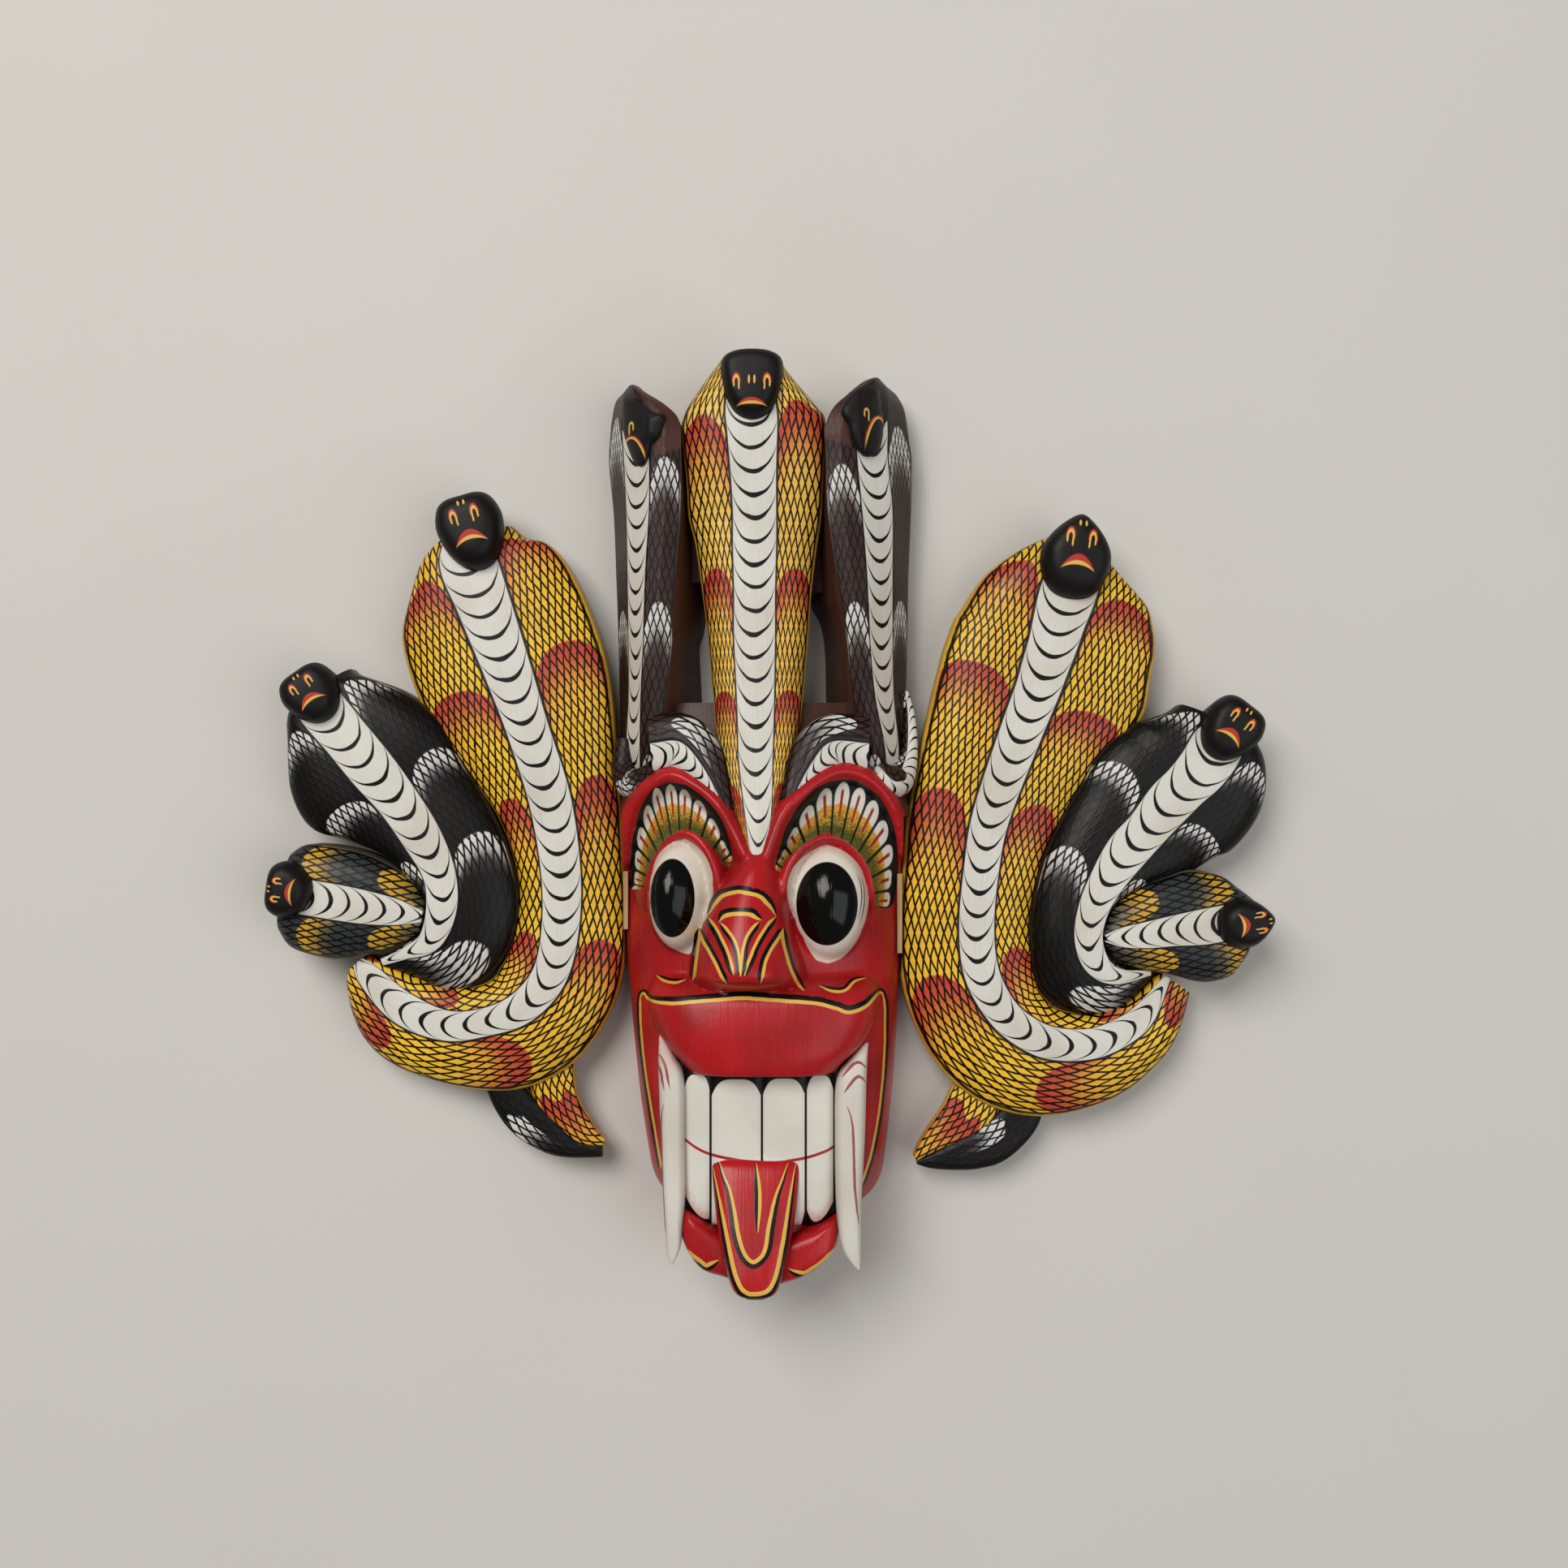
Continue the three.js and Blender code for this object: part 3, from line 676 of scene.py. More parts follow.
INK = srgb(5, 5, 5)
GOLD = srgb(222, 174, 78)
WHITE = srgb(214, 211, 202)
RED = srgb(178, 25, 30)
RAW_WOOD = srgb(196, 160, 118)


@dataclass(frozen=True)
class Finish:
    """A painted or bare surface."""

    name: str
    roughness: float = 0.38
    relief: float = 0.12
    gloss: float = 0.2

    def paint(self, bench: Bench) -> tuple[Wire, Wire]:
        """Lay out the colour and the fine height of the surface.

        Args:
            bench: The material's bench.

        Returns:
            Colour, and height from nought to one.
        """
        raise NotImplementedError

    def polish(self, bench: Bench) -> Wire:
        """Give the roughness, which is a little uneven."""
        age = AGE.place(bench)
        return self.roughness + (age["Cloud"] - 0.5) * 0.22

    def material(self) -> Paint:
        """Give the material, which is built at its first use."""
        found = bpy.data.materials.get(self.name)
        if found:
            return found
        made = bpy.data.materials.new(self.name)
        made.use_nodes = True
        made.node_tree.nodes.clear()
        bench = Bench(made.node_tree)
        colour, height = self.paint(bench)
        age = AGE.place(bench)
        shader = bench.add("ShaderNodeBsdfPrincipled")
        shader.inputs["Specular IOR Level"].default_value = self.gloss
        bench.feed(shader.inputs["Base Color"], colour)
        bench.feed(shader.inputs["Roughness"], self.polish(bench))
        bump = bench.run("ShaderNodeBump", {"Strength": 0.6, "Distance": self.relief * MILLIMETRE,
                                            "Height": height + age["Grain"] * 0.5}, "Normal")
        bench.feed(shader.inputs["Normal"], bump)
        leave = bench.add("ShaderNodeOutputMaterial")
        made.node_tree.links.new(shader.outputs[0], leave.inputs[0])
        return made


def in_millimetres(pair: tuple[Wire, Wire]) -> tuple[Wire, Wire]:
    """Turn a UV pair in metres into millimetres."""
    return pair[0] * PER_METRE, pair[1] * PER_METRE


@dataclass(frozen=True)
class CobraSkin(Finish):
    """Scaled flanks with fading patches, and a pale belly with dark crescents."""

    ground: Colour = srgb(244, 196, 56)
    shade: Colour = srgb(206, 146, 32)
    patch: Colour = srgb(192, 66, 48)
    patch_tail: Colour = srgb(228, 132, 58)
    rim: Colour = srgb(205, 160, 60)
    belly: Colour = WHITE
    belly_soil: Colour = srgb(176, 160, 134)
    belly_streak: Colour = srgb(150, 140, 126)
    scale_length: float = 9.0
    scale_width: float = 3.0
    scale_line: float = 0.76
    pitch: float = 9.4
    crescent: float = 1.65
    patch_fade: float = 0.58
    flank_scales: float = 0.0

    def paint(self, bench: Bench) -> tuple[Wire, Wire]:
        """Lay scales, patches and belly by the cobra's own length and breadth."""
        run, across = in_millimetres(bench.uv("skin_run"))
        turn, share = bench.uv("skin_spot")
        flank = abs(share) - 1.0
        streaks = STREAKS.place(bench, Run=run, Across=across)
        age = AGE.place(bench)
        spot = SPOTS.place(bench, Turn=turn, Share=flank, Fade=self.patch_fade)["Spot"]
        aside = flank * (self.flank_scales * self.scale_width) if self.flank_scales else across
        lines = LATTICE.place(bench, Run=run, Across=aside, Length=self.scale_length, Width=self.scale_width,
                              Line=self.scale_line)["Lines"]
        bands = BANDS.place(bench, Run=run, Share=share, Pitch=self.pitch, Depth=self.pitch * 1.5,
                            Line=self.crescent)["Bands"]
        ground = bench.blend(age["Cloud"].above(0.5, 0.5) * 0.5, self.ground, self.shade)
        patch = bench.blend(spot.above(0.55, 0.6), self.patch_tail, self.patch)
        ground = bench.blend(spot, ground, patch)
        ground = bench.blend(streaks["Tone"].above(0.62, 0.3) * 0.25, ground, self.shade)
        on_scales = flank.above(0.0, 0.02) * flank.below(0.955, 0.03)
        skin = bench.blend(lines * on_scales, ground, INK)
        edge = abs(flank - 0.93).below(0.022, 0.02) + abs(flank).below(0.035, 0.03)
        pale = bench.blend(age["Cloud"].above(0.56, 0.4) * 0.35, self.belly, self.belly_soil)
        pale = bench.blend(streaks["Tone"].above(0.6, 0.3) * 0.2, pale, self.belly_streak)
        pale = bench.blend(bands, pale, INK)
        colour = bench.blend(flank.above(0.0, 0.02), pale, skin)
        colour = bench.blend(flank.above(0.965, 0.02), colour, self.rim)
        colour = bench.blend(bench.math("MINIMUM", edge, 1.0) * 0.95, colour, INK)
        return colour, streaks["Height"] + lines * on_scales * 0.6


@dataclass(frozen=True)
class ColumnSkin(CobraSkin):
    """The skin of a side cobra of the crown, black round its head and plain brown behind it."""

    cap_length: float = 24.0
    cap_bend: float = 4.0
    plain: Colour = srgb(70, 42, 35)
    cap: Colour = srgb(22, 19, 18)

    def paint(self, bench: Bench) -> tuple[Wire, Wire]:
        """Lay the skin, then the plain brown side and the black cap."""
        colour, height = super().paint(bench)
        run, _ = in_millimetres(bench.uv("skin_run"))
        _, share = bench.uv("skin_spot")
        behind = share.above(1.2, 0.1) * run.below(38.0 - share * 4.0, 2.0) + share.above(2.0, 0.05)
        colour = bench.blend(bench.math("MINIMUM", behind, 1.0), colour, self.plain)
        cap = run.below(self.cap_length - share * share * self.cap_bend, 0.8)
        return bench.blend(cap * abs(share).below(1.05, 0.05), colour, self.cap), height


@dataclass(frozen=True)
class HeadPaint(Finish):
    """Black heads with hooked eyes, small nostrils and a doubled mouth line."""

    ground: Colour = srgb(11, 10, 10)
    worn: Colour = srgb(30, 26, 24)
    lip: Colour = srgb(178, 52, 42)
    roughness: float = 0.46
    eye_aside: float = 0.32
    eye_up: float = 0.32
    nostril_up: float = 0.68
    nostril_flat: float = 0.7
    mouth_down: float = 0.2
    mouth_bend: float = 0.9
    red_width: float = 0.15
    gold_width: float = 0.1

    def paint(self, bench: Bench) -> tuple[Wire, Wire]:
        """Draw the features in the head's own breadth and length."""
        across, along = bench.uv("head_face")
        age = AGE.place(bench)
        side = abs(across)
        mouth = along + self.mouth_down + across * across * self.mouth_bend
        weight = 1.0 - bench.math("MINIMUM", side * side * 4.2, 1.0)
        on_mouth = side.below(0.48, 0.04)
        red = mouth.above(0.0, 0.03) * mouth.below(weight * self.red_width, 0.03) * on_mouth
        gold = mouth.below(0.0, 0.03) * (0.0 - mouth).below(weight * self.gold_width, 0.03) * on_mouth
        reach = bench.length((side - self.eye_aside) * 1.6,
                             bench.math("MAXIMUM", along - self.eye_up, 0.0) * 0.85)
        hook = (along - self.eye_up + 0.16 - (side - self.eye_aside) * 0.5).above(0.0, 0.05)
        eye_gold = abs(reach - 0.13).below(0.04, 0.02) * hook
        eye_red = abs(reach - 0.19).below(0.03, 0.02) * (along - self.eye_up + 0.02).above(0.0, 0.06)
        nostril = bench.length((side - 0.085) * 1.5, (along - self.nostril_up) * self.nostril_flat)
        nostril = nostril.below(0.05, 0.02)
        colour = bench.blend(age["Cloud"].above(0.5, 0.5) * 0.4, self.ground, self.worn)
        colour = bench.blend(red + eye_red, colour, self.lip)
        colour = bench.blend(gold + eye_gold + nostril, colour, GOLD)
        return colour, age["Cloud"] + (red + gold) * 0.4


@dataclass(frozen=True)
class ProfileHead(HeadPaint):
    """A black head seen half from the side, with one hooked eye and a bent mouth line."""

    worn: Colour = srgb(34, 30, 28)
    eye: tuple[float, float] = (0.6, 4.6)
    bend: float = 0.19
    mouth_length: float = 6.6

    def paint(self, bench: Bench) -> tuple[Wire, Wire]:
        """Draw the features in millimetres from the top of the mouth line."""
        inward, up = bench.uv("head_face")
        age = AGE.place(bench)
        slope = inward * (2.0 * self.bend)
        away = (up + inward * inward * self.bend) / bench.math("SQRT", slope * slope + 1.0)
        on_mouth = inward.above(-2.4, 0.6) * inward.below(self.mouth_length, 1.2)
        gold = abs(away).below(0.4, 0.3) * on_mouth
        red = abs(away - 0.6).below(0.3, 0.3) * on_mouth
        aside, over = inward - self.eye[0], up - self.eye[1]
        reach = bench.length(aside, bench.math("MAXIMUM", over, 0.0) * 0.6)
        hook = (over + 2.4 - aside * 0.8).above(0.0, 0.6)
        eye = abs(reach - 0.9).below(0.3, 0.3) * hook
        colour = bench.blend(age["Cloud"].above(0.5, 0.5) * 0.4, self.ground, self.worn)
        colour = bench.blend(red, colour, self.lip)
        colour = bench.blend(gold + eye, colour, GOLD)
        return colour, age["Cloud"] + gold * 0.4


@dataclass(frozen=True)
class StainedWood(Finish):
    """Wood with a thin stain or none, and its grain showing."""

    light: Colour = RAW_WOOD
    dark: Colour = srgb(150, 112, 74)
    roughness: float = 0.66
    relief: float = 0.25

    def paint(self, bench: Bench) -> tuple[Wire, Wire]:
        """Run the grain up the mask."""
        across, up, out = bench.split(bench.object_place())
        grain = bench.noise(bench.vector(across * 420.0, up * 16.0, out * 420.0), 1.0, 4.0)
        cloud = bench.noise(bench.vector(across * 40.0, up * 14.0, out * 40.0), 1.0, 2.0)
        colour = bench.blend((grain * 0.65 + cloud * 0.35).above(0.5, 0.4), self.light, self.dark)
        return colour, grain


@dataclass(frozen=True)
class FacePaint(Finish):
    """Red enamel with painted eyes, petals round the eyes and doubled lines."""

    ground: Colour = RED
    deep: Colour = srgb(122, 15, 20)
    # Lighter red of the brush streaks, partly a painted highlight: the streaks also stand in for highlight
    # streaks on the enamel.
    streak_highlight: Colour = srgb(198, 46, 48)
    forehead: Colour = srgb(70, 44, 36)
    petal: Colour = srgb(214, 208, 196)
    petal_gold: Colour = srgb(210, 152, 44)
    petal_green: Colour = srgb(70, 80, 30)
    petal_red: Colour = srgb(146, 34, 24)
    ball: Colour = srgb(226, 219, 206)
    ball_soil: Colour = srgb(196, 176, 158)
    # Painted shade round the edge of each eye white.
    ball_edge_shade: Colour = srgb(186, 140, 124)
    line_sets: tuple[str, ...] = tuple(f"face_line_{index}" for index in range(5))
    has_eyes: bool = True
    roughness: float = 0.31
    gloss: float = 0.27

    def lines(self, bench: Bench, colour: Wire) -> tuple[Wire, Wire]:
        """Paint the doubled lines over a colour.

        Args:
            bench: The material's bench.
            colour: Colour so far.

        Returns:
            The new colour, and a mask of the lines.
        """
        covered: Wire | None = None
        for name in self.line_sets:
            masks = line_masks(bench, name)
            colour = bench.blend(masks["Gold"], colour, GOLD)
            colour = bench.blend(masks["Dark"], colour, INK)
            both = masks["Gold"] + masks["Dark"]
            covered = both if covered is None else covered + both
        return colour, covered

    def eyes(self, bench: Bench, colour: Wire) -> Wire:
        """Paint the whites, pupils, lids and petals over a colour, with painted shade round the edge of each
        white.
        """
        petal, reach, ground = bench.marks("petal_field")
        white, pupil, ends = bench.marks("eye_field")
        age = AGE.place(bench)
        turn = bench.math("FRACT", petal + 0.5) - 0.5
        aside = abs(turn)
        around = (ends - bench.math("POWER", ground - 0.5, 2.0) * 22.0).above(0.0, 1.5)
        field_mask = ground.above(0.0, 0.05) * ground.below(1.0, 0.05) * around
        tip = bench.math("MAXIMUM", reach - 0.74, 0.0) / 0.26
        breadth = bench.math("SQRT", bench.math("MAXIMUM", 1.0 - tip * tip, 0.0)) * 0.42
        inside = aside.below(breadth, 0.08) * reach.below(1.0, 0.05)
        gold = reach.below(0.62 - aside * 0.08, 0.04)
        stipple = (bench.noise(bench.object_place(), 1500.0, 2.0) - 0.5) * 1.3
        green = (reach + stipple).below(0.36, 0.5)
        stroke = aside.below(0.08, 0.05) * reach.above(0.34, 0.1) * reach.below(0.86, 0.08)
        leaf = bench.blend(gold, self.petal, self.petal_gold)
        leaf = bench.blend(green, leaf, self.petal_green)
        leaf = bench.blend(stroke, leaf, self.petal_red)
        painted = bench.blend(inside, INK, leaf)
        colour = bench.blend(field_mask, colour, painted)
        ball = bench.blend(age["Cloud"].above(0.55, 0.4) * 0.4, self.ball, self.ball_soil)
        # Pinkish-grey towards the edge of each white: painted shade where the ball curves away.
        ball = bench.blend(white.above(0.9, 0.18) * 0.45, ball, self.ball_edge_shade)
        ball = bench.blend(pupil.below(1.0, 0.03), ball, INK)
        return bench.blend(white.below(1.0, 0.03), colour, ball)

    def polish(self, bench: Bench) -> Wire:
        """Give the roughness, which is low on the pupils."""
        rough = super().polish(bench)
        if not self.has_eyes:
            return rough
        white, pupil, ends = bench.marks("eye_field")
        _, _, ground = bench.marks("petal_field")
        dull = ground.above(0.0, 0.05) * ground.below(1.0, 0.05) * ends.above(0.0, 1.5)
        return rough * (1.0 - 0.65 * pupil.below(1.0, 0.05) * white.below(1.0, 0.05)) + dull * 0.3

    def paint(self, bench: Bench) -> tuple[Wire, Wire]:
        """Lay the red ground, then the brows, eyes and lines."""
        across, up, _ = bench.split(bench.object_place())
        streaks = STREAKS.place(bench, Run=up * PER_METRE, Across=across * PER_METRE)
        age = AGE.place(bench)
        colour = bench.blend(age["Cloud"].above(0.5, 0.4) * 0.6, self.ground, self.deep)
        # Lighter vertical brush streaks, partly painted highlight streaks on the red.
        colour = bench.blend(streaks["Tone"].above(0.6, 0.3) * 0.3, colour, self.streak_highlight)
        if self.has_eyes:
            above, _, _ = bench.marks("brow_field")
            colour = bench.blend(above.above(4.0, 0.8), colour, self.forehead)
            colour = self.eyes(bench, colour)
        colour, covered = self.lines(bench, colour)
        return colour, streaks["Height"] + covered * 0.4


TOOTH_GAPS: Row = (842.0, 875.5, 938.8, 992.8, 1028.0)


def gap_mask(bench: Bench, gaps: Row, width: float) -> Wire:
    """Draw upright lines at columns of the front view, with a width in its pixels."""
    across, _, out = bench.split(bench.object_place())
    scale = VIEW.pixel * MILLIMETRE * (1.0 - out / (VIEW.distance * MILLIMETRE))
    column = (across - VIEW.across * MILLIMETRE) / scale + VIEW.middle
    near: Wire = abs(column - gaps[0])
    for gap in gaps[1:]:
        near = bench.math("MINIMUM", near, abs(column - gap))
    return near.below(width / 2, 0.9)


@dataclass(frozen=True)
class TonguePaint(FacePaint):
    """The red tongue, which comes out from under the upper teeth."""

    line_sets: tuple[str, ...] = ("tongue_line_0", "tongue_line_1")
    has_eyes: bool = False
    tooth: Colour = srgb(218, 213, 203)
    gap_width: float = 3.0

    def paint(self, bench: Bench) -> tuple[Wire, Wire]:
        """Lay the red with its lines, and the ends of the teeth over it."""
        colour, height = super().paint(bench)
        _, bite, _ = bench.marks("tooth_field")
        tooth = bench.blend(gap_mask(bench, TOOTH_GAPS[2:3], self.gap_width), self.tooth, INK)
        return bench.blend(bite.below(-1.5, 1.2), colour, tooth), height


@dataclass(frozen=True)
class ToothPaint(Finish):
    """White teeth with dark gaps and a red bite line."""

    white: Colour = srgb(213, 210, 199)
    soil: Colour = srgb(182, 176, 162)
    blush: Colour = srgb(190, 110, 104)
    bite: Colour = srgb(160, 34, 38)
    gap_width: float = 3.0

    def paint(self, bench: Bench) -> tuple[Wire, Wire]:
        """Draw the gaps on the front view and the rest by the tooth field."""
        age = AGE.place(bench)
        inside, bite, end = bench.marks("tooth_field")
        colour = bench.blend(age["Cloud"].above(0.55, 0.4) * 0.35, self.white, self.soil)
        blush = (1.0 - bench.rise(end + (age["Grain"] - 0.5) * 26.0, 0.0, 22.0)) * 0.5
        colour = bench.blend(blush, colour, self.blush)
        colour = bench.blend(abs(bite).below(1.9, 0.9), colour, self.bite)
        colour = bench.blend(gap_mask(bench, TOOTH_GAPS, self.gap_width), colour, INK)
        colour = bench.blend(inside.below(2.0, 1.2), colour, INK)
        return colour, age["Cloud"]


@dataclass(frozen=True)
class TuskPaint(Finish):
    """Off-white tusks, patchily pinkish towards the top, with a few red-brown lines."""

    white: Colour = srgb(212, 207, 196)
    soil: Colour = srgb(184, 175, 160)
    streak: Colour = srgb(168, 158, 146)
    blush: Colour = srgb(190, 112, 104)
    line: Colour = srgb(140, 50, 44)
    pink_from: float = -98.0

    def paint(self, bench: Bench) -> tuple[Wire, Wire]:
        """Lay the white and draw the lines."""
        across, up, _ = bench.split(bench.object_place())
        streaks = STREAKS.place(bench, Run=up * PER_METRE, Across=across * PER_METRE)
        age = AGE.place(bench)
        colour = bench.blend(age["Cloud"].above(0.5, 0.4) * 0.4, self.white, self.soil)
        colour = bench.blend(streaks["Tone"].above(0.62, 0.3) * 0.25, colour, self.streak)
        # Pinkish in patches towards the top of each tusk.
        pink_top = (up * PER_METRE).above(self.pink_from, 14.0) * age["Cloud"].above(0.45, 0.3)
        colour = bench.blend(pink_top * 0.45, colour, self.blush)
        for name in ("tusk_line_0", "tusk_line_1"):
            colour = bench.blend(line_masks(bench, name)["Dark"] * 0.9, colour, self.line)
        return colour, streaks["Height"]


YELLOW_SKIN = CobraSkin("yellow_cobra_enamel")
DARK_SKIN = CobraSkin(
    "black_cobra_enamel", ground=srgb(21, 18, 17), shade=srgb(12, 11, 11), patch=srgb(214, 212, 206),
    patch_tail=srgb(104, 100, 98), rim=srgb(46, 36, 30), patch_fade=0.4)
GREY_SKIN = CobraSkin(
    "grey_cobra_enamel", ground=srgb(58, 61, 62), shade=srgb(34, 36, 37), patch=srgb(206, 158, 46),
    patch_tail=srgb(140, 124, 76), rim=srgb(84, 78, 66), pitch=7.4, crescent=1.5)
BROWN: dict[str, Colour | float] = {
    "ground": srgb(60, 36, 31), "shade": srgb(36, 23, 21), "patch": srgb(208, 206, 200),
    "patch_tail": srgb(112, 98, 92), "rim": srgb(56, 34, 29), "pitch": 8.8, "scale_width": 2.9}
BROWN_SKIN = CobraSkin("brown_cobra_enamel", scale_line=0.72, patch_fade=0.4, **BROWN)
COLUMN_SKIN = ColumnSkin("crown_column_enamel", scale_line=0.66, patch_fade=0.42, **BROWN)
CROWN_SKIN = CobraSkin("crown_cobra_enamel", ground=srgb(240, 196, 88), scale_length=10.4, scale_width=2.75,
                       scale_line=0.68, flank_scales=6.7)
BROW_SKIN = replace(BROWN_SKIN, name="brow_cobra_enamel", pitch=5.2, crescent=1.2, patch_fade=0.55)
BLACK_HEAD = HeadPaint("black_head_enamel")
CROWN_HEAD = HeadPaint("crown_head_enamel", eye_aside=0.48, eye_up=0.23, nostril_up=0.3, nostril_flat=0.42,
                       mouth_down=0.29, mouth_bend=0.48, red_width=0.09, gold_width=0.08)
PROFILE_HEADS = (ProfileHead("left_column_head_enamel"),
                 ProfileHead("right_column_head_enamel", eye=(5.6, 0.9), bend=0.32, mouth_length=6.0))
BARE_WOOD = StainedWood("bare_wood")
BROWN_WOOD = StainedWood("brown_stained_wood", light=srgb(84, 52, 42), dark=srgb(44, 28, 24))
RED_FACE = FacePaint("red_face_enamel")
RED_TONGUE = TonguePaint("red_tongue_enamel")
TOOTH_WHITE = ToothPaint("tooth_enamel")
TUSK_WHITE = TuskPaint("tusk_enamel")


# Cobras


class Belly(Enum):
    """Where a cobra's pale belly lies on its section."""

    MIDDLE = "middle"
    LEFT = "left"
    RIGHT = "right"
    NONE = "none"


@dataclass(frozen=True)
class CobraSection:
    """The cross-section of a hooded body, as shares of its belly and hood breadth."""

    flank_points: int = 15
    belly_points: int = 9
    flank_power: float = 2.4
    edge_power: float = 0.6
    belly_crown: float = 0.05
    crowding: float = 1.7
    wall_lifts: Row = (0.0, 0.34, 0.68)
    wall_share: float = 2.4
    columns: ClassVar[tuple[str, ...]] = ("side", "belly_share", "flank_share", "sink", "lift", "share")

    def paint_share(self, belly: Belly, side: float, belly_share: float, flank_share: float) -> float:
        """Give the share that the skin is painted by.

        Args:
            belly: Where the belly lies.
            side: One on the left, minus one on the right.
            belly_share: Share of the belly's half breadth.
            flank_share: Share of the flank's breadth.

        Returns:
            Minus one to one on the belly, up to two on the flank.
        """
        if belly is Belly.MIDDLE:
            return side * (belly_share + flank_share)
        if belly is Belly.NONE:
            return 1.15 + 0.1 * belly_share + 0.75 * flank_share
        pale_side = 1.0 if belly is Belly.LEFT else -1.0
        return 1.0 - 2.0 * flank_share if side == pale_side else 1.0 + flank_share

    def rows(self, belly: Belly) -> Array:
        """Give the section's points in order, from the left foot over the top to the right foot."""
        shares = 1.0 - (1.0 - np.linspace(0.0, 1.0, self.flank_points)) ** self.crowding
        flats = np.linspace(1.0, 0.0, self.belly_points // 2 + 1)[1:]
        points: list[Row] = []
        for side in (1.0, -1.0):
            run = [(side, 1.0, 1.0, 1.0, lift, side * self.wall_share) for lift in self.wall_lifts]
            run += [(side, 1.0, share, 1.0 - (1.0 - share ** self.flank_power) ** self.edge_power, 1.0,
                     self.paint_share(belly, side, 1.0, share)) for share in shares[::-1]]
            run += [(side, share, 0.0, -self.belly_crown * (1.0 - share ** 2), 1.0,
                     self.paint_share(belly, side, share, 0.0)) for share in flats]
            points += run if side > 0 else run[-2::-1]
        return np.array(points)

    def outline(self, belly: Belly) -> Piece:
        """Give the section as a closed ring of edges with its shares on the points."""
        name = "cobra_section_" + belly.value
        found = bpy.data.objects.get(name)
        if found:
            return found
        rows = self.rows(belly)
        count = len(rows)
        turn = np.arange(count) * 2 * math.pi / count
        ring = np.stack([np.cos(turn), np.sin(turn), np.zeros(count)], axis=1) * MILLIMETRE
        mesh = bpy.data.meshes.new(name)
        mesh.from_pydata(ring.tolist(), [(index, (index + 1) % count) for index in range(count)], [])
        for column, title in enumerate(self.columns):
            layer = mesh.attributes.new(title, "FLOAT", "POINT")
            layer.data.foreach_set("value", rows[:, column].astype(np.float32))
        return bpy.data.objects.new(name, mesh)


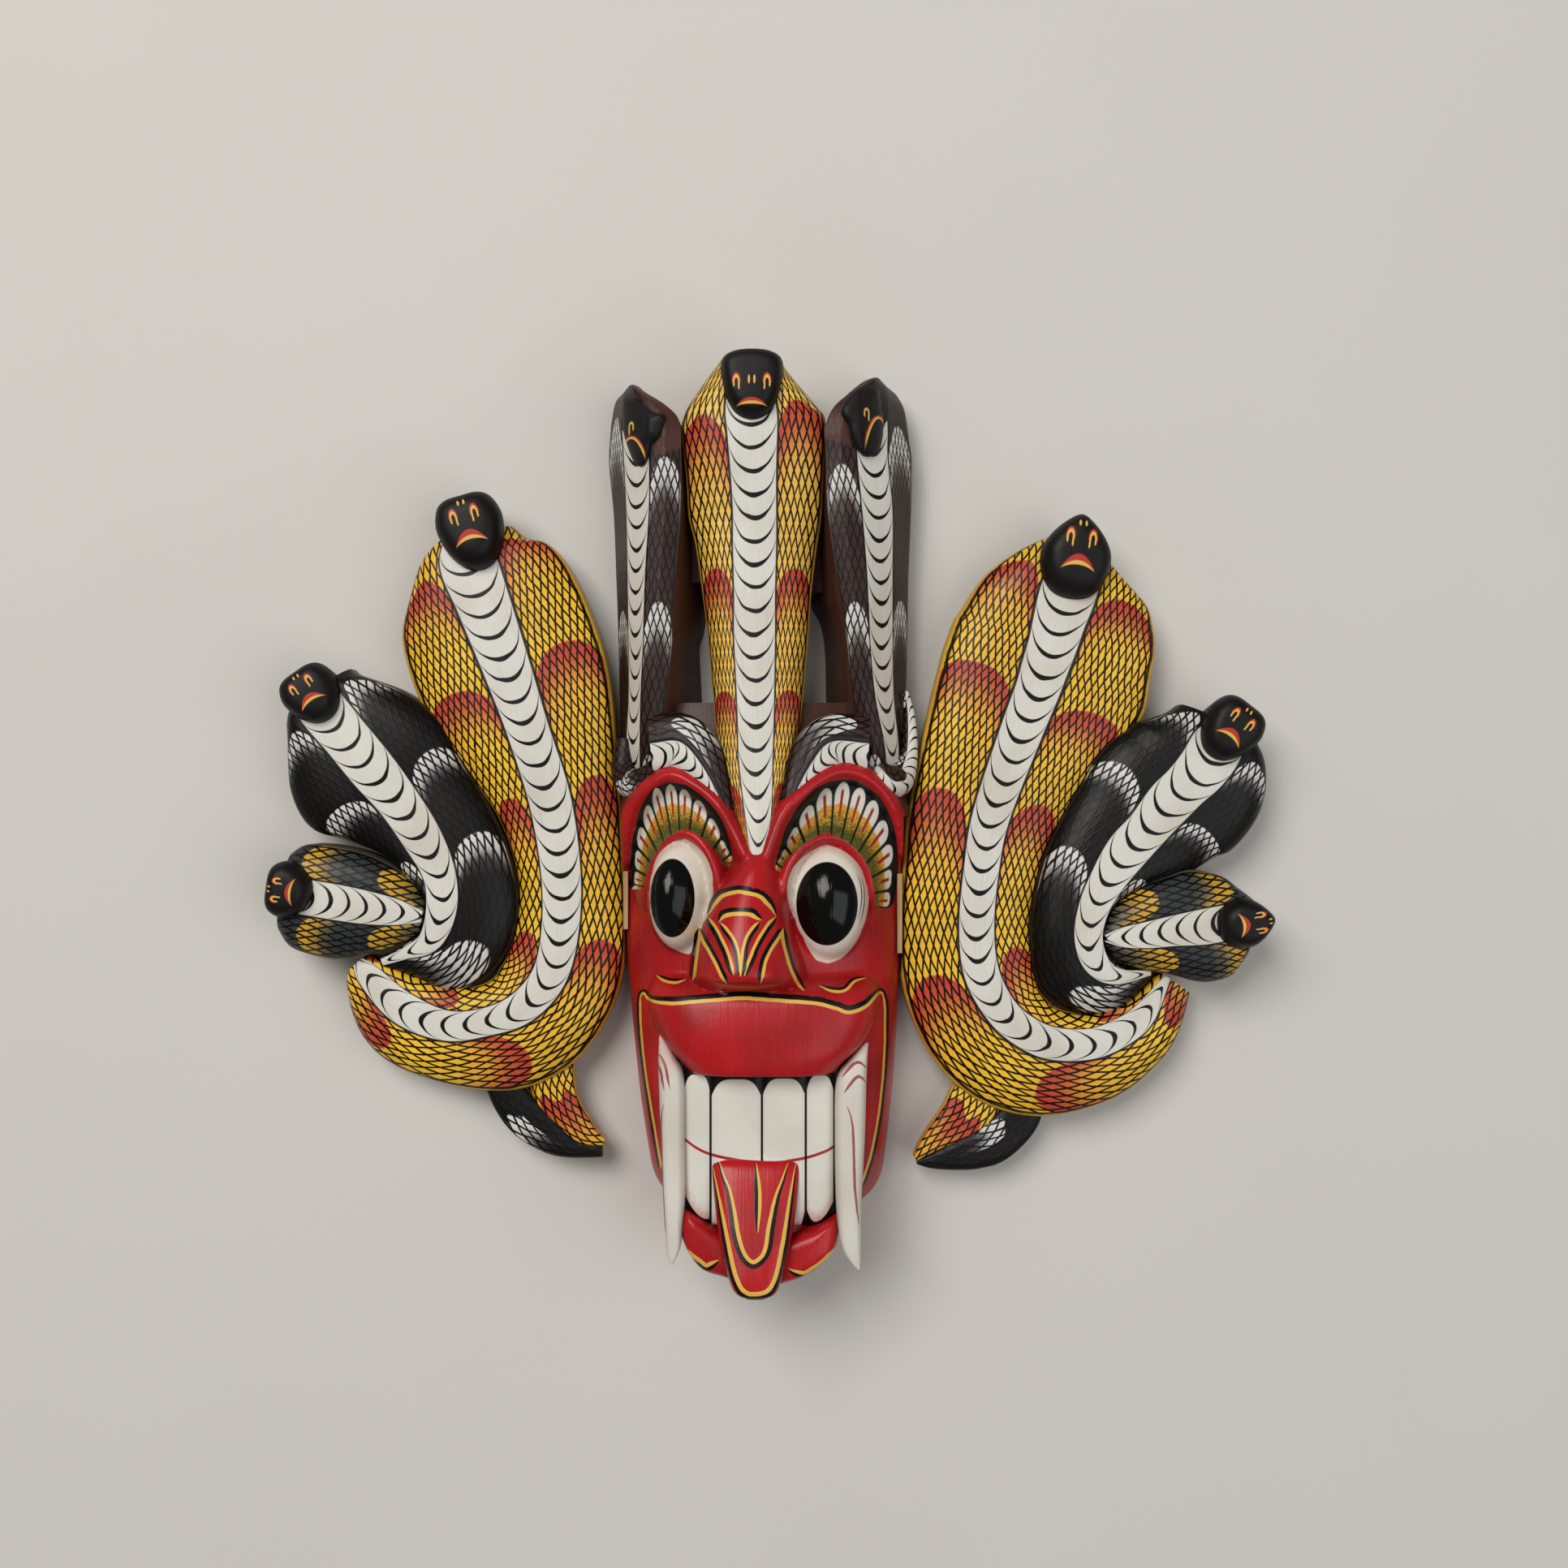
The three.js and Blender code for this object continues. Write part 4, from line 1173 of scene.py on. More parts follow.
class CobraNodes:
    """Geometry nodes that sweep a cobra's section along its spine."""

    TITLE = "cobra_body"
    FACING_BACK = -0.7
    SPINE: tuple[str, ...] = ("left", "belly", "right", "top", "left_turn", "right_turn")

    def __init__(self) -> None:
        """Start with no tree."""
        self.inputs: dict[str, str] = {}

    def named(self, bench: Bench, name: str, kind: str = "FLOAT") -> Wire:
        """Read a named attribute of the points."""
        return bench.run("GeometryNodeInputNamedAttribute", {"Name": name}, "Attribute", data_type=kind)

    def store(self, bench: Bench, mesh: Wire, name: str, value: Wire, kind: str, domain: str) -> Wire:
        """Write a named attribute."""
        inputs = {"Geometry": mesh, "Name": name, "Value": value}
        return bench.run("GeometryNodeStoreNamedAttribute", inputs, data_type=kind, domain=domain)

    def tree(self) -> bpy.types.NodeTree:
        """Give the tree, which is built at its first use."""
        found = bpy.data.node_groups.get(self.TITLE)
        if found:
            return found
        tree = bpy.data.node_groups.new(self.TITLE, "GeometryNodeTree")
        kinds = {"Spine": "Geometry", "Section": "Object", "Row spacing": "Float", "Back": "Float",
                 "Drop": "Float", "Skin": "Material", "Wood": "Material"}
        for name, kind in kinds.items():
            made = tree.interface.new_socket(name, in_out="INPUT", socket_type="NodeSocket" + kind)
            self.inputs[name] = made.identifier
        tree.interface.new_socket("Body", in_out="OUTPUT", socket_type="NodeSocketGeometry")
        bench = Bench(tree)
        entry = bench.add("NodeGroupInput")
        given = {name: Wire(bench, entry.outputs[name]) for name in kinds}
        body = self.sweep(bench, given)
        body = self.lay_out(bench, given, body)
        body = bench.run("GeometryNodeFlipFaces", {"Mesh": body})
        body = bench.run("GeometryNodeSetMaterial", {"Geometry": body, "Material": given["Skin"]})
        normal = bench.split(bench.run("GeometryNodeInputNormal", {}))[2]
        behind = bench.run("FunctionNodeCompare", {0: normal, 1: self.FACING_BACK}, operation="LESS_THAN")
        body = bench.run("GeometryNodeRealizeInstances", {"Geometry": body})
        body = bench.run("GeometryNodeSetMaterial", {"Geometry": body, "Selection": behind,
                                                     "Material": given["Wood"]})
        leave = bench.add("NodeGroupOutput")
        bench.feed(leave.inputs[0], body)
        return tree

    def sweep(self, bench: Bench, given: dict[str, Wire]) -> Wire:
        """Run the section along the spine, and keep each row's place and heading on its points."""
        curve = bench.run("GeometryNodeMeshToCurve", {"Mesh": given["Spine"]})
        inputs = {"Curve": curve, "Length": given["Row spacing"]}
        curve = bench.run("GeometryNodeResampleCurve", inputs, mode="LENGTH")
        place = bench.run("GeometryNodeInputPosition", {})
        heading = bench.run("GeometryNodeInputTangent", {})
        length = bench.run("GeometryNodeSplineParameter", {}, "Length")
        curve = self.store(bench, curve, "spine_place", place, "FLOAT_VECTOR", "POINT")
        curve = self.store(bench, curve, "spine_heading", heading, "FLOAT_VECTOR", "POINT")
        curve = self.store(bench, curve, "spine_run", length, "FLOAT", "POINT")
        ring = bench.run("GeometryNodeObjectInfo", {"Object": given["Section"]}, "Geometry")
        ring = bench.run("GeometryNodeMeshToCurve", {"Mesh": ring})
        inputs = {"Curve": curve, "Profile Curve": ring, "Fill Caps": True}
        return bench.run("GeometryNodeCurveToMesh", inputs)

    def lay_out(self, bench: Bench, given: dict[str, Wire], body: Wire) -> Wire:
        """Set each point's breadth and height from the spine's sizes, and write the skin's maps."""
        size = {name: self.named(bench, name) for name in self.SPINE + CobraSection.columns}
        on_left = bench.math("GREATER_THAN", size["side"], 0.0)
        width = size["right"] + (size["left"] - size["right"]) * on_left
        face_side = bench.run("GeometryNodeFieldOnDomain", {"Value": size["side"]}, domain="FACE",
                              data_type="FLOAT")
        face_on_left = bench.math("GREATER_THAN", face_side, 0.0)
        turn = size["right_turn"] + (size["left_turn"] - size["right_turn"]) * face_on_left
        offset = size["side"] * (size["belly"] * size["belly_share"]
                                 + (width - size["belly"]) * size["flank_share"])
        crest = size["top"] - given["Drop"] * size["sink"]
        level = given["Back"] + size["lift"] * (crest - given["Back"])
        head_x, head_y, _ = bench.split(self.named(bench, "spine_heading", "FLOAT_VECTOR"))
        x, y, _ = bench.split(self.named(bench, "spine_place", "FLOAT_VECTOR"))
        place = bench.vector(x + head_y * offset, y - head_x * offset, level)
        skin_run = bench.vector(self.named(bench, "spine_run"), offset, 0.0)
        skin_spot = bench.vector(turn, size["share"], 0.0)
        body = self.store(bench, body, "skin_run", skin_run, "FLOAT2", "CORNER")
        body = self.store(bench, body, "skin_spot", skin_spot, "FLOAT2", "CORNER")
        return bench.run("GeometryNodeSetPosition", {"Geometry": body, "Position": place})


COBRA_NODES = CobraNodes()
SPINE_MARKS = CobraNodes.SPINE + CobraSection.columns + ("spine_place", "spine_heading", "spine_run")


@dataclass
class CobraBody:
    """A hooded cobra carved flat: stations of x, y, left, belly, right and top, from head to tail."""

    name: str
    stations: Rows
    skin: CobraSkin
    spots: Rows
    back: float = 10.0
    drop: float = 9.0
    belly: Belly = Belly.MIDDLE
    spot_pitch: float = 46.0
    row_spacing: float = 1.7
    steps: int = 6
    bare_turn: ClassVar[float] = 0.8

    def turns(self, spine: Array, run: Array, side: float) -> Array:
        """Count the painted patches of one side along the spine.

        Args:
            spine: Smoothed stations.
            run: Length along the spine at each of them.
            side: One for the left side, minus one for the right.

        Returns:
            A count that is whole where a patch starts.
        """
        starts = []
        places = VIEW.place(np.array(self.spots), float(spine[:, 5].mean()))
        heading = np.gradient(spine[:, :2], axis=0)
        for place in places:
            near = int(np.argmin(np.linalg.norm(spine[:, :2] - place, axis=1)))
            away = place - spine[near, :2]
            if (away[0] * heading[near, 1] - away[1] * heading[near, 0]) * side > 0:
                starts.append(run[near])
        if not starts:
            return np.full(run.shape, self.bare_turn)
        starts.sort()
        knots = [starts[0] - self.spot_pitch * 4] + starts + [starts[-1] + self.spot_pitch * 8]
        counts = np.concatenate([[-4.0], np.arange(len(starts)), [len(starts) + 7.0]])
        return np.interp(run, knots, counts)

    def build(self) -> Piece:
        """Sweep the body and give it as a plain mesh object."""
        spine = smooth_rows(self.stations, self.steps)
        run = run_length(spine[:, :2])
        mesh = bpy.data.meshes.new(self.name)
        flat = np.column_stack([spine[:, :2], np.zeros(len(spine))]) * MILLIMETRE
        mesh.from_pydata(flat.tolist(), [(index, index + 1) for index in range(len(spine) - 1)], [])
        sizes = [spine[:, index] * MILLIMETRE for index in range(2, 6)]
        sizes += [self.turns(spine, run, 1.0), self.turns(spine, run, -1.0)]
        for title, values in zip(CobraNodes.SPINE, sizes):
            layer = mesh.attributes.new(title, "FLOAT", "POINT")
            layer.data.foreach_set("value", values.astype(np.float32))
        made = bpy.data.objects.new(self.name, mesh)
        bpy.context.scene.collection.objects.link(made)
        step = made.modifiers.new("cobra body", "NODES")
        step.node_group = COBRA_NODES.tree()
        values = {"Section": CobraSection().outline(self.belly), "Row spacing": self.row_spacing * MILLIMETRE,
                  "Back": self.back * MILLIMETRE, "Drop": self.drop * MILLIMETRE,
                  "Skin": self.skin.material(), "Wood": BARE_WOOD.material()}
        for title, value in values.items():
            step[COBRA_NODES.inputs[title]] = value
        ready = bpy.context.evaluated_depsgraph_get()
        body = bpy.data.meshes.new_from_object(made.evaluated_get(ready))
        made.modifiers.clear()
        made.data = body
        for title in SPINE_MARKS:
            layer = body.attributes.get(title)
            if layer:
                body.attributes.remove(layer)
        recalculated(body)
        return made


class HeadOutline(Enum):
    """Half outlines of a head, from its crown down to its chin, as shares of its half sizes."""

    POINTED = ((0.0, 1.0), (0.36, 0.84), (0.74, 0.52), (0.98, 0.16), (1.0, -0.18), (0.86, -0.58),
               (0.52, -0.9),
               (0.0, -1.0))
    SHIELD = ((0.0, 1.0), (0.55, 0.95), (0.92, 0.77), (1.0, 0.45), (0.94, 0.05), (0.8, -0.42), (0.48, -0.84),
              (0.0, -1.0))
    CAPPED = ((0.0, 1.0), (0.5, 0.98), (0.82, 0.8), (1.0, 0.35), (0.94, -0.1), (0.76, -0.52), (0.42, -0.88),
              (0.0, -1.0))

    def ring(self, sides: int) -> Array:
        """Give the whole outline as evenly spaced points."""
        left = [(-x, y) for x, y in self.value[-2:0:-1]]
        return even_loop(list(self.value) + left, sides)


@dataclass
class CobraHead:
    """A flattened head: place, level, half breadth, half length, rise and turn."""

    name: str
    across: float
    up: float
    level: float
    half_width: float
    half_length: float
    rise: float
    turn: float
    back: float = 10.0
    outline: HeadOutline = HeadOutline.CAPPED
    paint: HeadPaint = BLACK_HEAD
    face_drop: float = 0.0
    lean: float = -0.06
    foot: float = 0.82
    flatness: float = 0.42
    tip: float = 0.04
    sides: int = 60
    rings: int = 16

    def build(self) -> Piece:
        """Loft the head from its foot to its crown."""
        circle = self.outline.ring(self.sides)
        bends = np.linspace(0.0, math.pi / 2, self.rings)
        scales = [self.foot] + [math.cos(bend) ** self.flatness for bend in bends[:-1]] + [self.tip]
        rises = [0.0] + [math.sin(bend) for bend in bends[:-1]] + [1.0]
        angle = math.radians(self.turn)
        rings, maps = [], []
        for index, (scale, rise) in enumerate(zip(scales, rises)):
            flat = circle * scale
            x = flat[:, 0] * self.half_width
            y = (flat[:, 1] - self.lean * rise) * self.half_length
            level = self.back if index == 0 else self.level + self.rise * rise
            rings.append(np.stack([self.across + x * math.cos(angle) - y * math.sin(angle),
                                   self.up + x * math.sin(angle) + y * math.cos(angle),
                                   np.full(self.sides, level)], axis=1))
            maps.append(flat + (0.0, self.face_drop))
        return loft(self.name, np.array(rings), self.paint.material(), {"head_face": np.array(maps)})


@dataclass
class Wing:
    """One side board: three cobras and two curling tails, glued to the face at a flat seat."""

    name: str
    node: str
    slot: str
    bodies: tuple[CobraBody, ...]
    heads: tuple[CobraHead, ...]
    seat_from: float
    seat_to: float
    seat_front: float = 90.0

    def build(self) -> Piece:
        """Join the cobras and cut the seat."""
        solids = [body.build() for body in self.bodies] + [head.build() for head in self.heads]
        base = solids[0]
        base.name = self.name
        combine(base, solids[1:], Cut.JOIN)
        combine(base, [seat_block("seat", self.seat_from, self.seat_to, self.seat_front)], Cut.REMOVE)
        finish_piece(base)
        return base


def box_solid(name: str, low: Row, high: Row) -> Piece:
    """Give a plain block of bare wood, to cut with or to join."""
    corners = np.array([(low[0], low[1]), (high[0], low[1]), (high[0], high[1]), (low[0], high[1])])
    rings = [np.column_stack([corners, np.full(4, level)]) for level in (low[2], high[2])]
    return loft(name, np.array(rings), BARE_WOOD.material())


def seat_block(name: str, left: float, right: float, front: float) -> Piece:
    """Give the block that is cut away where a wing is glued to the face."""
    return box_solid(name, (left, SEAT_BOTTOM, SEAT_BACK), (right, SEAT_TOP, front))


def finish_piece(piece: Piece, crease: float = 38.0) -> None:
    """Merge doubled points and shade the piece smooth up to a crease."""
    work = bmesh.new()
    work.from_mesh(piece.data)
    bmesh.ops.remove_doubles(work, verts=work.verts, dist=0.02 * MILLIMETRE)
    bmesh.ops.dissolve_degenerate(work, edges=work.edges, dist=0.01 * MILLIMETRE)
    bmesh.ops.triangulate(work, faces=[face for face in work.faces if len(face.verts) > 4])
    work.to_mesh(piece.data)
    work.free()
    piece.data.shade_smooth()
    piece.data.set_sharp_from_angle(angle=math.radians(crease))
    piece.data.name = piece.name


def wing_bodies(side: str, tables: tuple[Rows, Rows, Rows], tails: tuple[Rows, Rows],
                spots: tuple[Rows, Rows, Rows], tail_spots: tuple[Rows, Rows]) -> tuple[CobraBody, ...]:
    """Give the five bodies of a wing.

    Args:
        side: Name of the side.
        tables: Stations of the yellow, dark and small cobra.
        tails: Stations of the yellow and the dark tail.
        spots: Places of the patches on the three cobras, in picture pixels.
        tail_spots: The same on the two tails.

    Returns:
        The bodies, the yellow cobra first.
    """
    skins = (YELLOW_SKIN, DARK_SKIN, GREY_SKIN)
    names = ("yellow", "dark", "small")
    bodies = [CobraBody(f"{side}_{name}_cobra", *rows)
              for name, *rows in zip(names, tables, skins, spots)]
    bodies += [CobraBody(f"{side}_{name}_tail", *rows, drop=2.5, belly=Belly.NONE, spot_pitch=60.0)
               for name, *rows in zip(names, tails, skins, tail_spots)]
    return tuple(bodies)


LEFT_YELLOW: Rows = (
    (-128.5, 121, 8, 6, 20, 25), (-126.5, 109, 24, 12, 31, 27), (-119.5, 90.5, 38, 11.5, 38.5, 28),
    (-109, 61.5, 40, 10, 40, 28), (-101, 38, 34, 9, 36.5, 28), (-92, 9, 24.5, 9, 29, 27),
    (-87.5, -20, 19.5, 8.5, 25.5, 27), (-87.5, -43.5, 19.5, 8, 27, 27), (-92, -64, 20.5, 7.5, 29, 27),
    (-103.5, -77.5, 18.5, 7, 32, 27), (-118.5, -83.5, 15, 6, 31, 27), (-135.5, -85, 16.5, 6.5, 25.5, 27),
    (-154, -77.5, 14, 7, 23.5, 26), (-168.5, -64, 8.5, 5, 14, 24), (-173, -59, 4, 2.5, 7, 22))
LEFT_DARK: Rows = (
    (-191, 53, 14.5, 6, 18, 28), (-187.5, 48.5, 19.5, 10, 19.5, 30), (-176, 35, 33, 10, 29.5, 31),
    (-164.5, 21, 37, 10, 33.5, 31), (-155, 9, 28.5, 9, 30.5, 30), (-145, -6, 18.5, 8.5, 29.5, 30),
    (-137.5, -21.5, 14, 7, 29, 30), (-136.5, -36.5, 7.5, 6.5, 31, 30), (-141.5, -49.5, 6, 5, 27, 29),
    (-152, -55, 3.5, 2.5, 13, 27), (-162.5, -59, 2.5, 1.5, 3.5, 24))
LEFT_SMALL: Rows = (
    (-203, -29.5, 17, 6, 16.5, 30), (-198, -30.3, 22, 7.5, 20.5, 32), (-190.5, -31.5, 24, 7.5, 22, 33),
    (-178, -33.5, 24.5, 7.5, 22, 34), (-166.5, -35.5, 21, 7, 20, 34), (-154.5, -37.5, 15.5, 5.5, 15, 33),
    (-144.5, -39.5, 7.5, 2.5, 6, 31))
RIGHT_YELLOW: Rows = (
    (130.5, 113, 16, 9, 13, 26), (126.5, 103.2, 26, 11.5, 33, 27), (122.8, 93, 34, 12, 40, 28),
    (119.8, 83.5, 38, 11.2, 43.3, 28), (117.2, 74, 41, 10.5, 44.5, 28), (113.8, 64, 41.5, 10, 46.5, 28),
    (110.5, 54, 41.5, 9.5, 45.5, 28), (103.5, 36, 39, 9, 36, 28), (91.5, 2, 34, 8, 29, 27),
    (87.5, -20, 32, 7.5, 25.5, 27), (85.5, -43.5, 32, 7.5, 23.5, 27), (87.5, -63, 33, 7.5, 23.5, 27),
    (95.5, -78.5, 35, 7, 20, 27), (105.5, -87.5, 35.5, 7, 16.5, 27), (117.5, -92.5, 32.5, 7, 14, 27),
    (134, -92.5, 27, 6.5, 11.5, 27), (147.5, -87, 22.5, 6, 10, 26), (156, -80, 19, 5, 7.5, 25),
    (166, -65.5, 13.5, 1.5, 3.5, 22))
RIGHT_DARK: Rows = (
    (189.5, 41, 19, 6, 14, 28), (185.5, 32.5, 24.5, 11, 25, 30), (179, 22.5, 31, 11, 32, 31),
    (171.5, 14.5, 33, 10, 34, 31), (164.5, 7.5, 34.5, 10, 32.5, 31), (156, -3, 33, 9, 27.5, 30),
    (147, -13, 29.5, 9, 21, 30), (139, -25, 27, 7.5, 12, 30), (133.5, -36.5, 24, 6.5, 8, 30),
    (131.5, -48.5, 23, 6, 6, 30), (135, -59, 24.5, 5.5, 5.5, 29), (143.5, -64.5, 17, 3.5, 4.5, 28),
    (158.5, -63.5, 4, 1, 2, 24))
RIGHT_SMALL: Rows = (
    (204, -40.6, 4, 3, 5, 30), (199.5, -40.5, 9.5, 5.5, 12, 31), (195, -40.9, 14, 7.5, 18, 32),
    (189, -41.6, 19.5, 7.5, 23, 33),
    (178, -43.5, 23.5, 7.5, 24, 34), (166.5, -45, 22, 6.5, 20, 34), (154.5, -47, 19, 5.5, 15.5, 33),
    (144.5, -48, 14, 4, 11, 32), (138.5, -48.5, 4.5, 1.5, 4, 31))
LEFT_TAILS: tuple[Rows, Rows] = (
    ((-92, -100, 9, 3, 9, 18), (-92.5, -110, 9.5, 3, 9.5, 18), (-90.3, -117.5, 8.8, 3, 8.8, 18),
     (-85.5, -124.8, 7, 2, 7, 18), (-79.5, -131.3, 5.6, 2, 5.6, 18), (-74.5, -134.4, 3.3, 1, 3.3, 18),
     (-70.5, -135.6, 1.7, 0.5, 1.7, 17.5)),
    ((-115, -106, 7, 3, 7, 18), (-111.4, -115.3, 7.7, 3, 7.7, 18), (-105.2, -123.6, 8.6, 3, 8.6, 18),
     (-98.2, -129.9, 8.2, 3, 8.2, 18), (-90.2, -135.3, 6.6, 2, 6.6, 18), (-82.9, -138.3, 4.2, 1.5, 4.2, 18),
     (-71.2, -139.3, 3, 1, 3, 17.5)))
RIGHT_TAILS: tuple[Rows, Rows] = (
    ((90, -108, 10, 3, 10, 18), (85.5, -119, 11, 3, 11, 18), (79, -126.8, 9.2, 3, 9.2, 18),
     (70.2, -133.6, 5.6, 2, 5.6, 18), (64.2, -139, 3, 1, 3, 18), (61, -142.6, 1.2, 0.5, 1.2, 17.5)),
    ((107.5, -115, 8.5, 3, 8.5, 18), (104.4, -125.6, 8.9, 3, 8.9, 18), (95, -135.4, 8.9, 3, 8.9, 18),
     (86.7, -139.3, 7.9, 3, 7.9, 18), (77.2, -141.6, 6.2, 2, 6.2, 18), (67.7, -143.6, 3.6, 1, 3.6, 17.5),
     (61.5, -144, 1.3, 0.5, 1.3, 17)))
LEFT_TAIL_SPOTS: tuple[Rows, Rows] = (((675, 1346), (697, 1343)), ((632, 1370),))
RIGHT_TAIL_SPOTS: tuple[Rows, Rows] = (((1187, 1359), (1203, 1375)), ((1245, 1390),))
RIGHT_SPOTS: tuple[Rows, Rows, Rows] = (
    ((1258, 687), (1205, 815), (1165, 971), (1160, 1199), (1278, 1340), (1380, 737), (1327, 871),
    (1270, 989),
     (1243, 1168), (1350, 1258)),
    ((1455, 866), (1382, 934), (1315, 1040), (1320, 1225), (1540, 936), (1472, 1007), (1400, 1080)),
    ((1520, 1090), (1430, 1105), (1535, 1175), (1450, 1175)))
LEFT_SPOTS: tuple[Rows, Rows, Rows] = (
    ((523, 713), (580, 846), (628, 984), (645, 1142), (563, 1220), (637, 663), (697, 795), (730, 955),
    (738, 1156),
     (651, 1295), (493, 1265)),
    ((369, 900), (434, 981), (507, 1060), (430, 840), (531, 918), (584, 1020), (572, 1158)),
    ((373, 1054), (465, 1088), (365, 1150), (453, 1155)))
LEFT_HEADS: Rows = ((-124, 119.5, 27, 14, 16, 11, 16), (-189.2, 51.9, 30, 12, 12, 10, 35),
                    (-198, -28.3, 32, 11.7, 9.5, 9.5, 82))
RIGHT_HEADS: Rows = ((126.5, 109.5, 27, 14.5, 17.8, 11, -8), (189.5, 37.4, 30, 12.3, 13.4, 10, -38),
                     (195.4, -41.8, 32, 10.2, 12, 9.5, -82))


# Crown


CENTRE_COBRA: Rows = (
    (-7.5, 188.5, 12.5, 7, 11.5, 50), (-8, 177.5, 20.5, 9, 21, 50), (-8, 167.5, 28, 10.5, 28.5, 49),
    (-7.5, 160, 29.4, 10.5, 30.2, 49), (-7, 142, 28, 9.5, 29, 48), (-6.5, 125.5, 27.5, 9, 27.5, 47),
    (-6.5, 113, 24.5, 9, 25.5, 47), (-6.5, 92, 21.5, 8.5, 23, 47), (-6.5, 75.5, 19.5, 8.5, 22, 47.5),
    (-6, 43, 17, 7.5, 18.5, 49), (-6, 26, 16, 7, 16.5, 51), (-5, 5, 11.5, 5.5, 9.5, 55),
    (-5, -14, 3.5, 3, 3, 59))
CENTRE_SPOTS: Rows = ((873, 505), (885, 704), (893, 853), (898, 966), (980, 491), (972, 700), (970, 844),
    (952, 969))
CENTRE_HEAD: Row = (-7.5, 176.0, 46.0, 12.8, 14.5, 11.0, 0.0)
CROWN_BACK = 20.0
BROW_COBRAS: tuple[Rows, Rows] = (
    ((-49, 33, 13.5, 1, 10, 46), (-36, 33.5, 13.5, 1, 10.5, 49), (-26, 22.5, 8.5, 1, 9.5, 51.5),
     (-17.5, 5, 3, 0.5, 4, 54)),
    ((40, 33, 10, 1, 13, 46), (24, 33.5, 10, 1, 13, 49), (15, 23.5, 9, 1, 8.5, 51.5), (7, 7, 4, 0.5, 3, 54)))
BROW_SPOTS: tuple[Rows, Rows] = (((828, 903),), ((1058, 897),))
TAIL_CURLS: tuple[Rows, Rows] = (
    ((-60.5, 34, 27, 4), (-61, 22, 28, 5.5), (-57, 15.5, 32, 6.5), (-51, 17.5, 37, 5.5), (-46.5, 22, 41, 4)),
    ((43.5, 22, 39, 4), (48, 17, 35, 6.5), (53, 17.5, 29, 6.5), (57.3, 28, 24, 4), (57.8, 43, 22, 2.6),
     (56.5, 54, 20, 1.2)))
LEFT_COLUMN: Rows = (
    (180.4, -63.4, -61, -58.5, -55.8, -55.6, 0.72), (178.8, -65.2, -61.3, -57.3, -54, -53.8, 0.8),
    (176, -66.3, -61.6, -55.8, -51.3, -51, 0.87), (170, -67.3, -61.8, -52.5, -42.8, -42.5, 0.95),
    (163, -68, -61.8, -50, -37.2, -36, 1),
    (150, -68.5, -61, -49.5, -36.5, -36, 1), (128, -66.5, -60, -49.5, -36.5, -31, 1),
    (103, -65.5, -59.5, -51, -38.5, -28.2, 1), (84, -64.8, -59.2, -51.7, -39.6, -28.5, 1),
    (76, -64.6, -59.1, -51.9, -39.9, -30.6, 1), (72, -64.5, -59, -52, -40, -31, 1),
    (51, -64, -59, -53, -42.5, -30, 1), (31, -63.5, -60, -53.5, -45.5, -30, 0.95),
    (14, -62, -59, -54, -47, -30, 0.75))
RIGHT_COLUMN: Rows = (
    (183.2, 49.4, 47, 44.5, 41.6, 41.4, 0.74), (181.4, 52, 47.6, 43, 39, 38.8, 0.83),
    (179, 53.8, 48, 41.5, 36, 35.8, 0.88), (174.5, 56, 48.3, 39.5, 31.2, 31, 0.94),
    (168.5, 57.2, 48.3, 37.5, 25.3, 25, 0.98), (160, 58.3, 48.5, 35.5, 22, 21.8, 1),
    (150, 59.5, 48.5, 35, 22.5, 21, 1), (128, 59, 50.5, 37, 23, 18, 1), (103, 58, 50.5, 39, 26.5, 16.4, 1),
    (92, 57.8, 50.5, 39.6, 28.2, 17, 1), (84, 57.7, 50.5, 40, 29.4, 21, 1),
    (72, 57.5, 50.5, 40.5, 31, 23, 1), (51, 57, 51, 42.5, 33, 23.5, 1), (31, 57, 53, 46.5, 36.5, 24, 0.95),
    (14, 57, 53.5, 48, 40, 24, 0.75))
COLUMN_HEADS: tuple[Rows, Rows] = (
    ((-60.5, 174.4), (-55.9, 173.1), (-48.2, 167), (-42.8, 164.9), (-44.1, 159.8), (-45.6, 156.2),
    (-48.7, 153.2),
     (-50, 148), (-52.8, 145.2), (-56.3, 148), (-59.2, 154.7), (-61, 160.8), (-61.5, 164.9), (-61.7, 171.1)),
    ((43.8, 178.8), (39.1, 178.2), (33.5, 174.2), (29.2, 168.5), (28.9, 164.9), (31.5, 161.3), (32.5, 156.7),
     (34.3, 152.6), (37.1, 149.8), (39.7, 149.3), (43.3, 151.1), (45.3, 154.7), (46.2, 159.8), (46.3, 164.9),
     (45.6, 170), (44.8, 175.2)))
COLUMN_FRONTS: tuple[Rows, Rows] = (((-67, 15), (-61, 30), (-49.5, 42), (-43, 44), (-36.5, 42)),
                                    ((22.5, 42), (29, 44), (36, 42), (48.5, 30), (57, 15)))
COLUMN_MOUTHS: Rows = ((-57.8, 157.2, 1), (44.6, 165.5, -1))
HEAD_PROFILE: Rows = ((1, -8), (1, 0.5), (0.97, 1.5), (0.9, 2.4), (0.78, 3.1), (0.6, 3.6), (0.35, 3.9),
    (0.08, 4))
COLUMN_TOPS: Row = (182.0, 186.0)
COLUMN_PATCHES: tuple[tuple[Row, Row], ...] = (((13.3, 94.2), (33.6, 92.5)), ((20.9, 94.0), (40.6, 96.5)))
WEBS: Rows = ((-42, -28, 100, 162, 6, 20), (14, 28, 96, 162, 6, 20))


